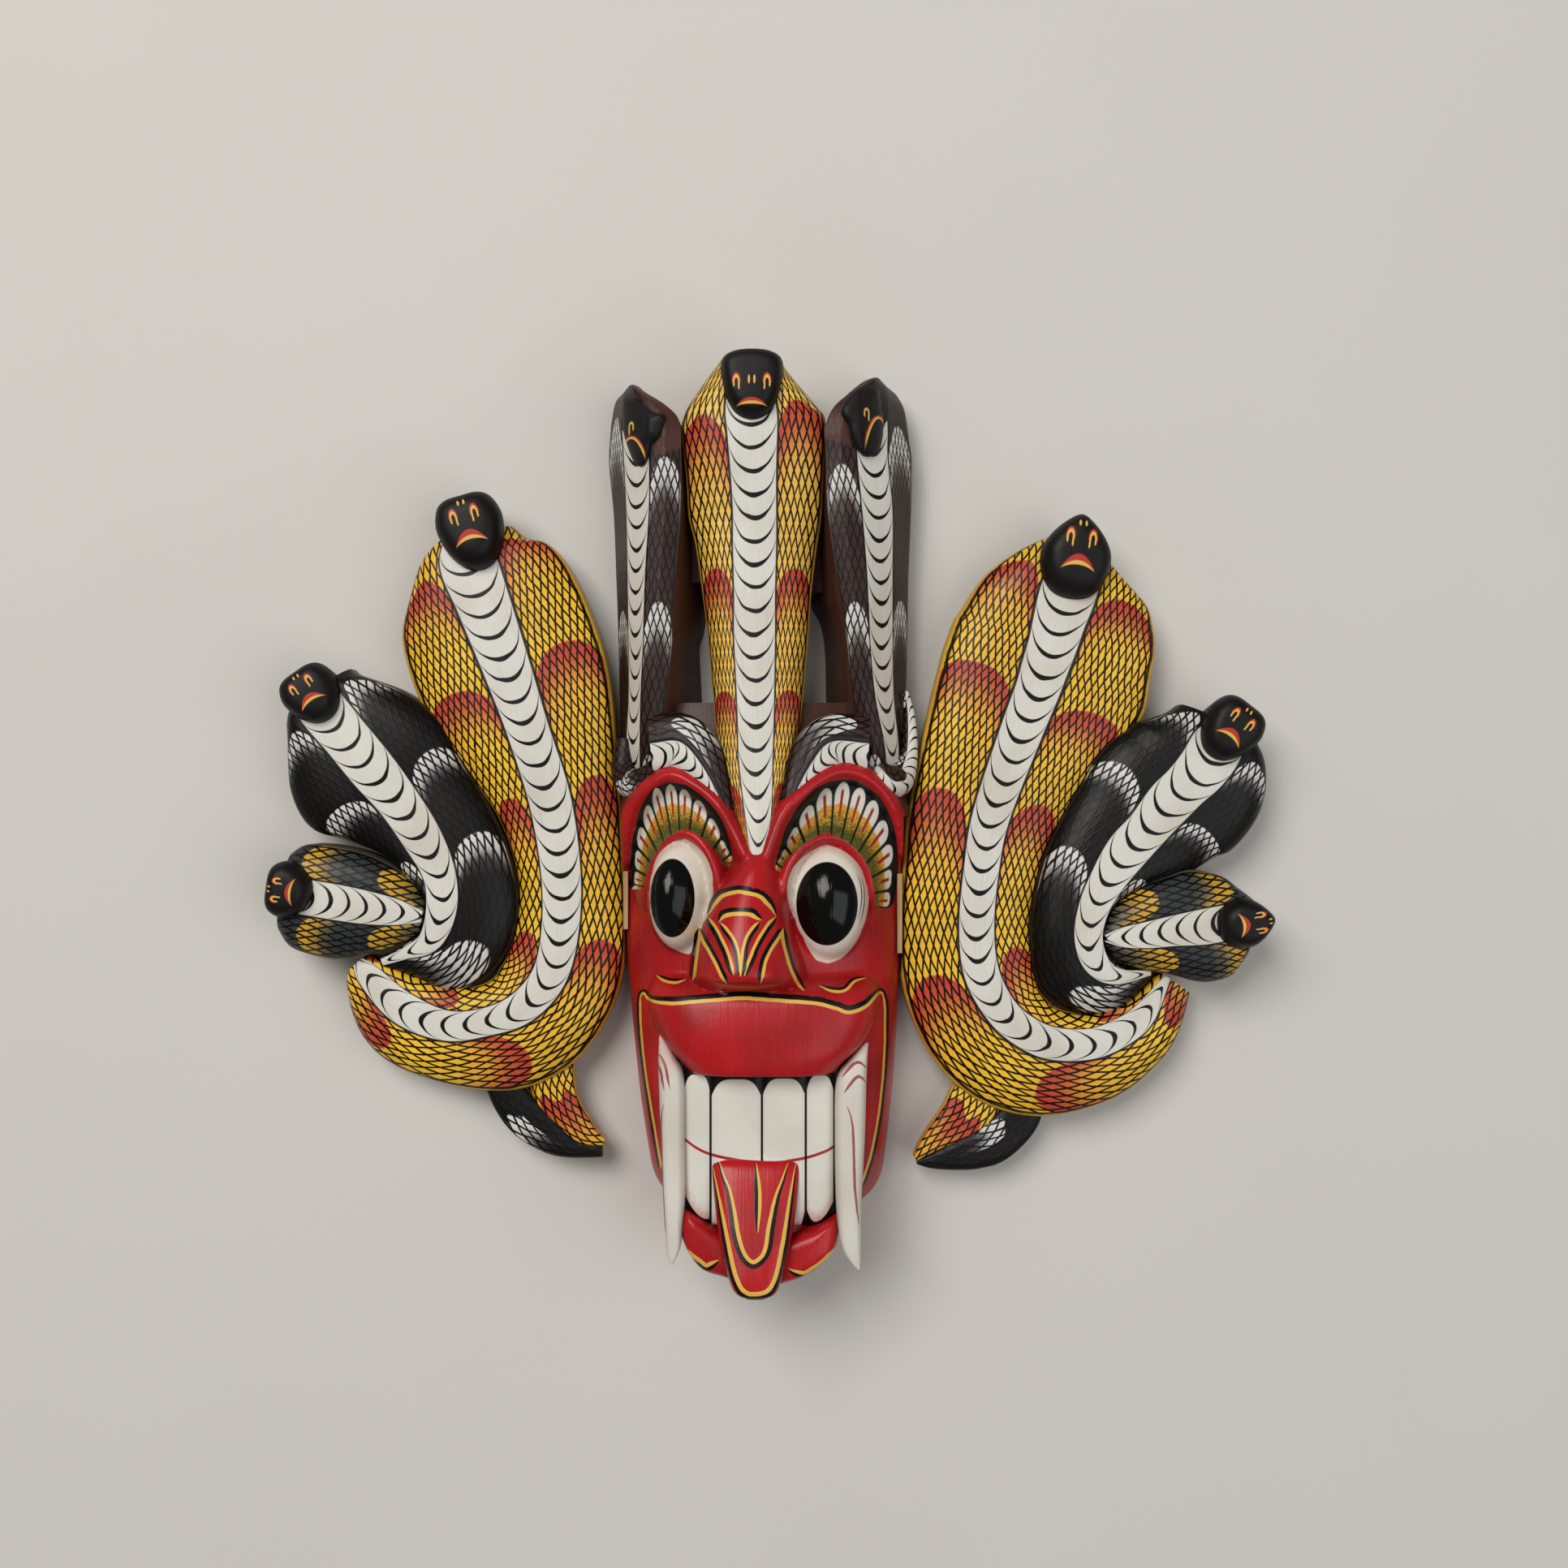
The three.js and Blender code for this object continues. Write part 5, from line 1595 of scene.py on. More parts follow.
@dataclass
class Crown:
    """The three cobras over the forehead, the two on the brows, and their tails."""

    edge: float = 15.0
    outer_belly: float = 30.0
    inner_belly: float = 42.0
    inner: float = 44.0
    patch_pitch: float = 62.0
    head_sides: int = 90
    parts: tuple[int, ...] = (4, 8, 8, 7, 7, 6)
    curl_sides: int = 20
    curl_pitch: float = 30.0

    def column_turns(self, run: float, starts: Row) -> float:
        """Count the painted patches of one flank down to a length along it."""
        knots = (starts[0] - self.patch_pitch,) + starts + (starts[-1] + self.patch_pitch * 2,)
        counts = (-1.0,) + tuple(range(len(starts))) + (len(starts) + 1.0,)
        return float(np.interp(run, knots, counts))

    def column(self, name: str, rows: Rows, top: float, patches: tuple[Row, Row]) -> Piece:
        """Loft a side cobra, which stands half turned beside the middle one.

        Args:
            name: Name of the piece.
            rows: Stations of y, outer, outer belly, inner belly, inner, foot and share of the height.
            top: Place up the mask that the skin's lengths are counted from.
            patches: Lengths down the outer and the inner flank where a patch starts.

        Returns:
            The solid.
        """
        rings, run_map, spot_map = [], [], []
        for up, outer, belly_out, belly_in, inner, foot, share in smooth_rows(rows, 14):
            middle = (belly_in + inner) / 2
            knots = np.array([(outer, 0.0, -2.6), (outer, self.edge, -2.0),
                              (belly_out, self.outer_belly, -1.0), (belly_in, self.inner_belly, 1.0),
                              (middle, self.inner, 1.5), (inner, self.inner_belly, 2.0), (foot, 0.0, 2.6)])
            line = [knots[0]]
            for index, count in enumerate(self.parts):
                for step in range(1, count + 1):
                    line.append(knots[index] + (knots[index + 1] - knots[index]) * step / count)
            line = np.array(line)
            lengths = run_length(line[:, :2])
            zero = np.interp(0.0, line[:, 2], lengths)
            rings.append(np.stack([line[:, 0], np.full(len(line), up), line[:, 1] * share], axis=1))
            run = np.full(len(line), (top - up) * MILLIMETRE)
            run_map.append(np.stack([run, (lengths - zero) * MILLIMETRE], axis=1))
            outer_turn, inner_turn = (self.column_turns(top - up, starts) for starts in patches)
            turn = np.where(line[:, 2] > 0, inner_turn, outer_turn)
            spot_map.append(np.stack([turn, line[:, 2]], axis=1))
        maps = {"skin_run": np.array(run_map), "skin_spot": np.array(spot_map)}
        return loft(name, np.array(rings), COLUMN_SKIN.material(), maps)

    def column_head(self, name: str, outline: Rows, front: Rows, mouth: Row,
                    paint: HeadPaint) -> Piece:
        """Give the black head of a side cobra, a low pad on the column's front.

        Args:
            name: Name of the solid.
            outline: Places round the head.
            front: Places across the column and the height of its front there.
            mouth: Place of the top of the mouth line, and one or minus one for the way in from it.
            paint: Finish of the head.

        Returns:
            The solid.
        """
        rings = pad_rings(outline, self.head_sides, smooth_rows(HEAD_PROFILE, 3), front)
        maps = (rings[:, :, :2] - mouth[:2]) * (mouth[2], 1.0)
        return loft(name, rings, paint.material(), {"head_face": maps})

    def curl(self, name: str, rows: Rows, pale_side: float) -> Piece:
        """Give a tail that curls round the temple, with its belly on one side or none."""
        dense = smooth_rows(rows, 10)
        run = run_length(dense[:, :3])
        ahead = np.gradient(dense[:, :3], axis=0)
        ahead /= np.linalg.norm(ahead, axis=1)[:, None]
        aside = np.cross(ahead, (0.0, 0.0, 1.0))
        aside /= np.linalg.norm(aside, axis=1)[:, None]
        over = np.cross(aside, ahead)
        circle = super_ring(self.curl_sides, 2.0)
        rings, run_map, spot_map = [], [], []
        for index, row in enumerate(dense):
            rings.append(row[:3] + row[3] * (circle[:, :1] * aside[index] + circle[:, 1:] * over[index]))
            length = np.full(self.curl_sides, run[index] * 2)
            run_map.append(np.stack([length, circle[:, 0] * row[3]], axis=1) * MILLIMETRE)
            turn = np.full(self.curl_sides, run[index] / self.curl_pitch + 0.4)
            share = 0.75 + 0.9 * circle[:, 0] * pale_side if pale_side else 1.1 + 0.4 * np.abs(circle[:, 0])
            spot_map.append(np.stack([turn, share], axis=1))
        maps = {"skin_run": np.array(run_map), "skin_spot": np.array(spot_map)}
        return loft(name, np.array(rings), BROWN_SKIN.material(), maps)

    def solids(self) -> list[Piece]:
        """Give all solids of the crown."""
        found = [CobraBody("centre_cobra", CENTRE_COBRA, CROWN_SKIN, CENTRE_SPOTS, drop=14.0,
                           spot_pitch=50.0).build(),
                 CobraHead("centre_head", *CENTRE_HEAD, back=CROWN_BACK, outline=HeadOutline.SHIELD,
                           paint=CROWN_HEAD, face_drop=0.3, flatness=0.3).build()]
        found += [self.column(side + "_column", *rows)
                  for side, *rows in zip(SIDES, (LEFT_COLUMN, RIGHT_COLUMN), COLUMN_TOPS, COLUMN_PATCHES)]
        found += [self.column_head(side + "_column_head", *rows)
                  for side, *rows in zip(SIDES, COLUMN_HEADS, COLUMN_FRONTS, COLUMN_MOUTHS, PROFILE_HEADS)]
        found += [CobraBody(side + "_brow_cobra", rows, BROW_SKIN, spots, CROWN_BACK, 5.0, belly,
                            spot_pitch=44.0, row_spacing=1.2).build()
                  for side, rows, spots, belly in zip(SIDES, BROW_COBRAS, BROW_SPOTS,
                                                      (Belly.LEFT, Belly.RIGHT))]
        found += [self.curl(side + "_curl", rows, pale)
                  for side, rows, pale in zip(SIDES, TAIL_CURLS, (0.0, -1.0))]
        for index, (x0, x1, y0, y1, z0, z1) in enumerate(WEBS):
            web = box_solid(f"web_{index}", (x0, y0, z0), (x1, y1, z1))
            web.data.materials[0] = BROWN_WOOD.material()
            found.append(web)
        return found


# Face


FACE_BLOCK: Rows = (
    (49, -62, 56, 32), (36, -62.3, 57, 37), (22, -62.2, 58, 43), (8, -62.1, 58, 46), (-12, -62.3, 56.8, 48),
    (-31, -62.5, 55.6, 49), (-52, -61.8, 55, 50), (-72, -60.2, 54.3, 51), (-96, -58, 53, 50),
    (-118, -55.6, 51.2, 48), (-138, -52.5, 49, 46), (-148, -50.5, 47.5, 43), (-155, -47, 44.5, 38),
    (-160, -42.5, 40, 33))
CHIN: Rows = ((-140, -36.5, 28, 44), (-158, -36.5, 28, 47), (-168, -36.4, 27.8, 49), (-175, -34.5, 26, 49),
              (-181, -28.5, 19, 47), (-185, -18, 9, 42), (-186.5, -10, 2, 36))
MUZZLE: Rows = ((-59, -46, 40, 40), (-63, -48, 42.5, 53), (-66.5, -49.5, 44, 61), (-70, -50, 44.5, 64),
                (-76, -49.5, 44, 65.5), (-84, -46.8, 41.2, 66.5), (-91, -42.5, 37, 66.5),
                (-96, -37.6, 31.2, 66), (-98.6, -35.2, 28.8, 65.2), (-100.4, -33.8, 27.4, 64.2))
TEETH: Rows = ((-94, -41, 32, 53.5), (-110, -41, 32, 54), (-150, -39, 30, 53), (-160, -37, 28, 51),
               (-163, -35, 26, 48))
NOSE: Rows = ((-10, -12, 1, 56), (-17, -16, 4, 64), (-26, -22.5, 6.5, 68), (-36, -27, 8.5, 72),
              (-48, -30.5, 11, 76), (-57, -33, 14, 79), (-60.5, -33.2, 15.2, 78.5), (-62.8, -33.5, 16, 74.5),
              (-65, -33.8, 16.6, 68.5), (-67, -34, 17, 62), (-68.5, -34, 17, 56))
TONGUE: Rows = ((-131, -24.4, 12.8, 51, 40), (-135, -24, 12.4, 53.8, 40), (-140, -23.6, 11.9, 57, 40),
                (-159, -21.6, 9.8, 62.5, 40), (-172.5, -18.8, 6.7, 66, 42), (-181, -16.4, 4.4, 68, 46),
                (-185.3, -14, 2.4, 68, 51), (-187.5, -10, -1.5, 66, 56))
LEFT_TUSK: Rows = ((-86, -45, -43, 50, 44), (-94, -45.2, -38.5, 55, 40), (-103, -45, -34.7, 57, 38),
                   (-126, -44.2, -34.4, 57, 38), (-150, -43.2, -34.4, 57, 40), (-163, -42.4, -35.4, 57, 44),
                   (-170, -41.8, -36, 56.5, 47), (-174.5, -41, -37.8, 55.8, 50),
                   (-177, -40.2, -39.3, 55, 52))
RIGHT_TUSK: Rows = ((-89, 37.5, 39.5, 50, 44), (-96, 31, 39, 55, 40), (-104, 26.2, 38.6, 57, 38),
                    (-126, 25.7, 38, 57, 38), (-151, 26.2, 36.6, 57, 40), (-164, 27.2, 36.3, 57, 44),
                    (-170, 28.5, 36.2, 56.5, 47), (-174.6, 31, 36.1, 55.8, 50), (-178.6, 34.4, 35.8, 55, 52))
LOWER_LIPS: tuple[Rows, ...] = (
    ((-34, -155.6), (-28, -159), (-22.9, -162.8), (-15, -168), (-12, -176), (-13, -184), (-20, -182.8),
     (-27.2, -180.3), (-32.5, -174.7), (-35.3, -169), (-36.5, -163.1), (-36, -158)),
    ((26.2, -158.5), (18, -162.5), (10.8, -165.4), (2, -169), (-1, -176), (0, -186), (6, -185.4),
    (12.2, -183.3),
     (20, -178.7), (26, -171.9), (27.4, -166), (27.6, -161.5)))
LIP_PROFILE: Rows = ((0.9, 20), (1.0, 40), (1.0, 46), (0.975, 49.5), (0.92, 52.2), (0.83, 54.2),
                     (0.68, 55.5), (0.45, 56.2), (0.15, 56.5))
EYEBALLS: Rows = ((-36, -30.2, 38, 13.5, 24, 22, -16), (22.8, -32.4, 40, 17, 24.5, 21, 8))
EYELIDS: Rows = ((-35.6, -30.2, 15, 26, 49, 0.4), (22.8, -32.4, 18.5, 26.5, 50, -0.33))
BROW_ARCHES: tuple[Rows, Rows] = (
    ((-60.5, -16, 27), (-58.1, 1.1, 36), (-51.6, 12.1, 43), (-40.9, 19, 47), (-30.8, 15.1, 50),
    (-21.6, 7.6, 53),
     (-15.1, -2.8, 55), (-10.2, -12.6, 58)),
    ((-1.8, -13.6, 58), (4.7, 3, 55), (11.6, 10.5, 53), (21.4, 18, 50), (29.8, 20.6, 47.5), (38, 18.3, 45),
     (44.8, 12.8, 42), (50.4, 3.7, 38), (54.5, -12, 28)))
GLUE_STRIPS: Rows = ((-62, -45, 8, -59.6, -21, 26), (52.6, -55, 8, 55, -22, 26))
HOLLOW: Rows = ((31, -24, 14, 8), (26, -40, 30, 20), (14, -48.5, 39, 28), (-30, -51, 41.5, 33),
                (-70, -49.5, 40.5, 35), (-110, -46, 37.5, 32), (-138, -41, 32.5, 28), (-149, -32, 24, 20),
                (-153, -20, 12, 9))


@dataclass
class Face:
    """The carved face: brow, eyes, nose, lips, teeth, tusks, tongue and chin, hollow behind."""

    name: str = "mask_carving"
    node: str = "face_and_crown"
    slot: str = "face_paint"
    squareness: float = 2.8
    row_step: float = 1.05
    arch_points: int = 210
    lid_radius: float = 2.4
    lid_sink: float = 7.0
    brow_radius: float = 2.7
    ridge_bend: float = 1.1
    socket_depth: float = 2.6
    crease: float = 58.0
    ball_fillet: float = 2.6
    lid_fillet: float = 2.0
    brow_fillet: float = 1.4
    nose: tuple[float, float, float] = (38.0, 2.2, 3.0)
    muzzle: tuple[float, float, float] = (30.0, 3.6, 2.4)
    groove: float = 0.9
    groove_width: float = 1.3
    groove_from: float = 45.0
    tooth_level: float = 53.0
    tooth_floor: float = 20.0
    tooth_row: float = 1.4
    tooth_points: int = 170
    tooth_squareness: float = 6.0
    tusk_squareness: float = 3.4
    tongue_squareness: float = 4.0
    lip_points: int = 110
    hollow_back: float = -6.0
    seat_edge: float = 90.0
    seat_front: float = 60.0

    def arch_height(self, rows: Rows, floor: float, squareness: float, x: Array, y: Array) -> Array:
        """Give the height of an arched form over places on the mask.

        Args:
            rows: Stations of y, left, right and front.
            floor: Height of the form's edges.
            squareness: Two for an ellipse, more for a squarer arch.
            x: Places across.
            y: Places up.

        Returns:
            Heights, far below where the form isn't.
        """
        left, right, front = columns_at(rows, y)
        offset = np.abs((x - (left + right) / 2) / np.maximum((right - left) / 2, 0.01))
        inside = (offset < 1.0) & (y <= rows[0][0]) & (y >= rows[-1][0])
        rise = (1.0 - np.minimum(offset, 1.0) ** squareness) ** (1.0 / squareness)
        return np.where(inside, floor + (front - floor) * rise, FAR_BELOW)

    def ball_height(self, row: Row, x: Array, y: Array) -> Array:
        """Give the height of an ellipsoid that is turned about the vertical of the face."""
        cx, cy, cz, half_x, half_y, half_z, turn = row
        cos, sin = math.cos(math.radians(turn)), math.sin(math.radians(turn))
        dx, dy = x - cx, y - cy
        square = sin ** 2 / half_x ** 2 + cos ** 2 / half_z ** 2
        linear = 2 * dx * sin * cos * (1 / half_z ** 2 - 1 / half_x ** 2)
        rest = dx ** 2 * (cos ** 2 / half_x ** 2 + sin ** 2 / half_z ** 2) + dy ** 2 / half_y ** 2 - 1.0
        under = linear ** 2 - 4 * square * rest
        root = (-linear + np.sqrt(np.maximum(under, 0.0))) / (2 * square)
        return np.where(under > 0, cz + root, FAR_BELOW)

    def ridge_height(self, line: Array, radius: float, x: Array, y: Array) -> Array:
        """Give the height of a round ridge that follows a line of places."""
        gap = np.full(x.shape, 1e9)
        level = np.zeros(x.shape)
        for px, py, pz in line:
            away = (x - px) ** 2 + (y - py) ** 2
            closer = away < gap
            gap = np.where(closer, away, gap)
            level = np.where(closer, pz, level)
        return np.where(gap < 9 * radius ** 2, level + radius - gap / (self.ridge_bend * radius), FAR_BELOW)

    def lid_line(self, row: Row) -> Array:
        """Give the line of an upper eyelid."""
        cx, cy, half_x, half_y, level, slope = row
        degrees = np.linspace(-12.0, 192.0, 90)
        turn = np.radians(degrees)
        sink = self.lid_sink * np.clip((np.abs(degrees - 90.0) - 74.0) / 28.0, 0.0, 1.0) ** 2
        return np.stack([cx + half_x * np.cos(turn), cy + half_y * np.sin(turn),
                         level + slope * half_x * np.cos(turn) - sink], axis=1)

    def carve(self, x: Array, y: Array, z: Array) -> Array:
        """Raise the features of the face from its plain block.

        Args:
            x: Places across.
            y: Places up.
            z: Heights of the block.

        Returns:
            Heights of the carved face.
        """
        for cx, cy, half_x, half_y, _, _ in EYELIDS:
            ring = np.hypot((x - cx) / half_x, (y - cy) / half_y)
            dip = np.exp(-((ring - 1.42) / 0.26) ** 2) * np.clip((y - cy + 14.0) / 14.0, 0.0, 1.0)
            z = z - self.socket_depth * dip
        for row in EYEBALLS:
            z = soft_max(z, self.ball_height(row, x, y), self.ball_fillet)
        for row in EYELIDS:
            z = soft_max(z, self.ridge_height(self.lid_line(row), self.lid_radius, x, y), self.lid_fillet)
        for rows in BROW_ARCHES:
            ridge = self.ridge_height(smooth_rows(rows, 12), self.brow_radius, x, y)
            z = soft_max(z, ridge, self.brow_fillet)
        for rows, (floor, squareness, fillet) in ((NOSE, self.nose), (MUZZLE, self.muzzle)):
            z = soft_max(z, self.arch_height(rows, floor, squareness, x, y), fillet)
        return z

    def plate(self) -> Piece:
        """Give the main block of the face, from the forehead to the jaw."""
        ups = np.arange(FACE_BLOCK[0][0], FACE_BLOCK[-1][0] - 0.01, -self.row_step)
        rows = zip(ups, *columns_at(FACE_BLOCK, ups))
        rings = arch_rings(rows, 0.0, self.squareness, self.arch_points)
        inner = rings[:, 1:-1]
        inner[:, :, 2] = self.carve(inner[:, :, 0], inner[:, :, 1], inner[:, :, 2])
        return loft(self.name, rings, RED_FACE.material())

    def arch_block(self, name: str, rows: Rows, floor: float, material: Paint, count: int = 90) -> Piece:
        """Give a plain arched block of the face."""
        return loft(name, arch_rings(smooth_rows(rows, 10), floor, self.squareness, count), material)

    def teeth(self) -> Piece:
        """Give the row of teeth, with a groove at each gap."""
        gaps = VIEW.place(np.array([(gap, 0.0) for gap in TOOTH_GAPS]), self.tooth_level)[:, 0]
        ups = np.arange(TEETH[0][0], TEETH[-1][0] - 0.01, -self.tooth_row)
        rows = zip(ups, *columns_at(TEETH, ups))
        rings = arch_rings(rows, self.tooth_floor, self.tooth_squareness, self.tooth_points)
        near = np.min(np.abs(rings[:, :, :1] - gaps), axis=2)
        dip = self.groove * np.exp(-(near / self.groove_width) ** 2)
        rings[:, :, 2] -= dip * (rings[:, :, 2] > self.groove_from)
        return loft("teeth", rings, TOOTH_WHITE.material())

    def bar(self, name: str, rows: Rows, squareness: float, material: Paint, sides: int = 90,
            steps: int = 8) -> Piece:
        """Give a carved bar of stations y, left, right, front and back."""
        circle = even_ring(sides, squareness)
        rings = []
        for up, left, right, front, back in smooth_rows(rows, steps):
            x = (left + right) / 2 + circle[:, 0] * (right - left) / 2
            z = (front + back) / 2 + circle[:, 1] * (front - back) / 2
            rings.append(np.stack([x, np.full(sides, up), z], axis=1))
        return loft(name, np.array(rings), material)

    def lip(self, name: str, outline: Rows, material: Paint) -> Piece:
        """Give a full lower lip, rounded over from its outline."""
        rings = pad_rings(outline, self.lip_points, smooth_rows(LIP_PROFILE, 4), FLAT_FRONT)
        return loft(name, rings, material)

    def build(self, crown: Crown) -> Piece:
        """Join the face and its crown, hollow it out and paint it.

        Args:
            crown: The cobras over the forehead.

        Returns:
            The carved piece.
        """
        red = RED_FACE.material()
        base = self.plate()
        parts = [self.arch_block("chin", CHIN, 0.0, red), self.teeth(),
                 self.bar("tongue", TONGUE, self.tongue_squareness, RED_TONGUE.material(), 150, 14)]
        parts += [self.bar(side + "_tusk", rows, self.tusk_squareness, TUSK_WHITE.material())
                  for side, rows in zip(SIDES, (LEFT_TUSK, RIGHT_TUSK))]
        parts += [self.lip(f"lower_lip_{index}", row, red) for index, row in enumerate(LOWER_LIPS)]
        parts += [box_solid(f"glue_strip_{index}", row[:3], row[3:]) for index, row in enumerate(GLUE_STRIPS)]
        combine(base, parts + crown.solids(), Cut.JOIN)
        cuts = [self.arch_block("hollow", HOLLOW, self.hollow_back, BARE_WOOD.material(), 70),
                seat_block("left_seat", -self.seat_edge, LEFT_SEAT, self.seat_front),
                seat_block("right_seat", RIGHT_SEAT, self.seat_edge, self.seat_front)]
        combine(base, cuts, Cut.REMOVE)
        finish_piece(base, self.crease)
        Painting().lay_out(base.data)
        return base


# Painting


@dataclass(frozen=True)
class Line:
    """A painted line on the front view: dark beside one side of a curve and gold beside the other."""

    points: Rows
    dark: float = 5.0
    gold: float = 4.5
    dark_on_right: bool = True
    ends: float = 0.18
    reach: float = 8.0

    def marks(self, pixels: Array) -> tuple[Array, Array]:
        """Measure the line at places on the front view.

        Args:
            pixels: Columns and rows of the places.

        Returns:
            Offset, dark width and gold width at each place, and its distance from the line.
        """
        curve = smooth_rows(self.points, 12)
        run = run_length(curve)
        heading = np.gradient(curve, axis=0)
        heading /= np.linalg.norm(heading, axis=1)[:, None]
        margin = self.reach * 3
        low, high = curve.min(axis=0) - margin, curve.max(axis=0) + margin
        close = np.all((pixels > low) & (pixels < high), axis=1)
        found = np.zeros((len(pixels), 3))
        spots = pixels[close]
        gaps = np.linalg.norm(spots[:, None, :] - curve[None, :, :], axis=2)
        near = np.argmin(gaps, axis=1)
        away = spots - curve[near]
        offset = heading[near, 0] * away[:, 1] - heading[near, 1] * away[:, 0]
        distance = np.full(len(pixels), np.inf)
        distance[close] = gaps[np.arange(len(spots)), near]
        end = np.minimum(run[near], run[-1] - run[near]) / max(self.ends * run[-1], 0.1)
        taper = np.clip(end, 0.0, 1.0) ** 0.6
        sign = 1.0 if self.dark_on_right else -1.0
        found[close] = np.stack([offset * sign, self.dark * taper, self.gold * taper], axis=1)
        outside = distance >= self.reach
        found[outside] = np.column_stack([np.where(found[outside, 0] < 0, -FAR_OFF, FAR_OFF),
                                          np.zeros((int(outside.sum()), 2))])
        return found, distance


@dataclass(frozen=True)
class EyeDrawing:
    """A painted eye on the front view, with a fan of petals over it."""

    centre: tuple[float, float]
    white: Rows
    pupil: tuple[float, float, float, float]
    lid: Rows
    tips: Rows
    brow: Rows
    first_angle: float
    last_angle: float

    def polar(self, pixels: Array) -> tuple[Array, Array]:
        """Give the angle from straight up, in degrees, and the distance from the centre."""
        away = pixels - np.array(self.centre)
        return np.degrees(np.arctan2(away[:, 0], -away[:, 1])), np.hypot(away[:, 0], away[:, 1])

    def edge(self, outline: Rows, angles: Array, closed: bool = False) -> Array:
        """Give the distance of an outline from the centre at each angle."""
        turn, far = self.polar(np.array(outline))
        order = np.argsort(turn)
        turn, far = turn[order], far[order]
        if closed:
            turn = np.concatenate([turn - 360.0, turn, turn + 360.0])
            far = np.tile(far, 3)
        return np.interp(angles, turn, far)

    def marks(self, pixels: Array) -> tuple[Array, Array]:
        """Measure the eye at places on the front view.

        Args:
            pixels: Columns and rows of the places.

        Returns:
            The petal field (petal, reach, ground) and the eye field (white, pupil, ends).
        """
        angles, far = self.polar(pixels)
        lid = self.edge(self.lid, angles)
        tips = np.maximum(self.edge(self.tips, angles), lid + 4.0)
        brow = np.maximum(self.edge(self.brow, angles), lid + 5.0)
        turn = np.sort(self.polar(np.array(self.tips))[0])
        step = np.diff(turn).mean()
        knots = np.concatenate([[turn[0] - 2 * step], turn, [turn[-1] + 2 * step]])
        counts = np.concatenate([[-2.0], np.arange(len(turn)), [len(turn) + 1.0]])
        petal = np.interp(angles, knots, counts)
        reach = (far - lid) / (tips - lid)
        ground = (far - lid) / (brow - lid)
        white = far / self.edge(self.white, angles, closed=True)
        x, y, half_x, half_y = self.pupil
        pupil = np.hypot((pixels[:, 0] - x) / half_x, (pixels[:, 1] - y) / half_y)
        ends = np.minimum(angles - self.first_angle, self.last_angle - angles) * np.radians(1.0) * far
        return np.stack([petal, reach, ground], axis=1), np.stack([white, pupil, ends], axis=1)


LEFT_EYE = EyeDrawing(
    centre=(840, 1105),
    white=((801, 1095), (804, 1075), (812, 1052), (830, 1037), (845, 1034), (862, 1046), (875, 1068),
    (878, 1090),
           (875, 1114), (866, 1138), (858, 1156), (850, 1176), (836, 1172), (823, 1165), (810, 1150),
           (803, 1130), (801, 1112)),
    pupil=(828.5, 1106.5, 27.5, 48.5),
    lid=((794, 1092), (798, 1072), (809, 1050), (820, 1034), (845, 1021), (865, 1032), (880, 1047),
    (890, 1062),
         (893, 1085)),
    tips=((782, 1083), (783, 1057), (786, 1026), (795, 996), (807, 971), (826, 966), (844, 973), (864, 988),
          (882, 1015), (895, 1045)),
    brow=((778, 1080), (778, 1050), (783, 1020), (790, 994), (803, 973), (823, 964), (845, 967), (863, 979),
          (885, 1003), (897, 1030), (902, 1060)),
    first_angle=-82.0, last_angle=57.0)
RIGHT_EYE = EyeDrawing(
    centre=(1020, 1112),
    white=((970, 1092), (978, 1068), (995, 1052), (1018, 1041), (1038, 1048), (1055, 1062), (1066, 1085),
           (1070, 1105), (1068, 1125), (1062, 1145), (1051, 1166), (1036, 1181), (1020, 1187), (1006, 1183),
           (998, 1172), (990, 1155), (980, 1133), (972, 1112)),
    pupil=(1019, 1113.5, 38, 51.5),
    lid=((964, 1090), (965, 1065), (985, 1045), (1018, 1026), (1052, 1045), (1075, 1085), (1077, 1115)),
    tips=((962, 1056), (974, 1028), (992, 997), (1016, 972), (1040, 963), (1062, 971), (1080, 988),
    (1093, 1016),
          (1100, 1049), (1098, 1082), (1096, 1110)),
    brow=((956, 1065), (962, 1041), (973, 1011), (987, 989), (1005, 971), (1023, 963), (1039, 960),
    (1055, 962),
          (1071, 971), (1085, 983), (1095, 1001), (1103, 1025), (1106, 1057), (1104, 1093), (1100, 1115)),
    first_angle=-58.0, last_angle=96.0)

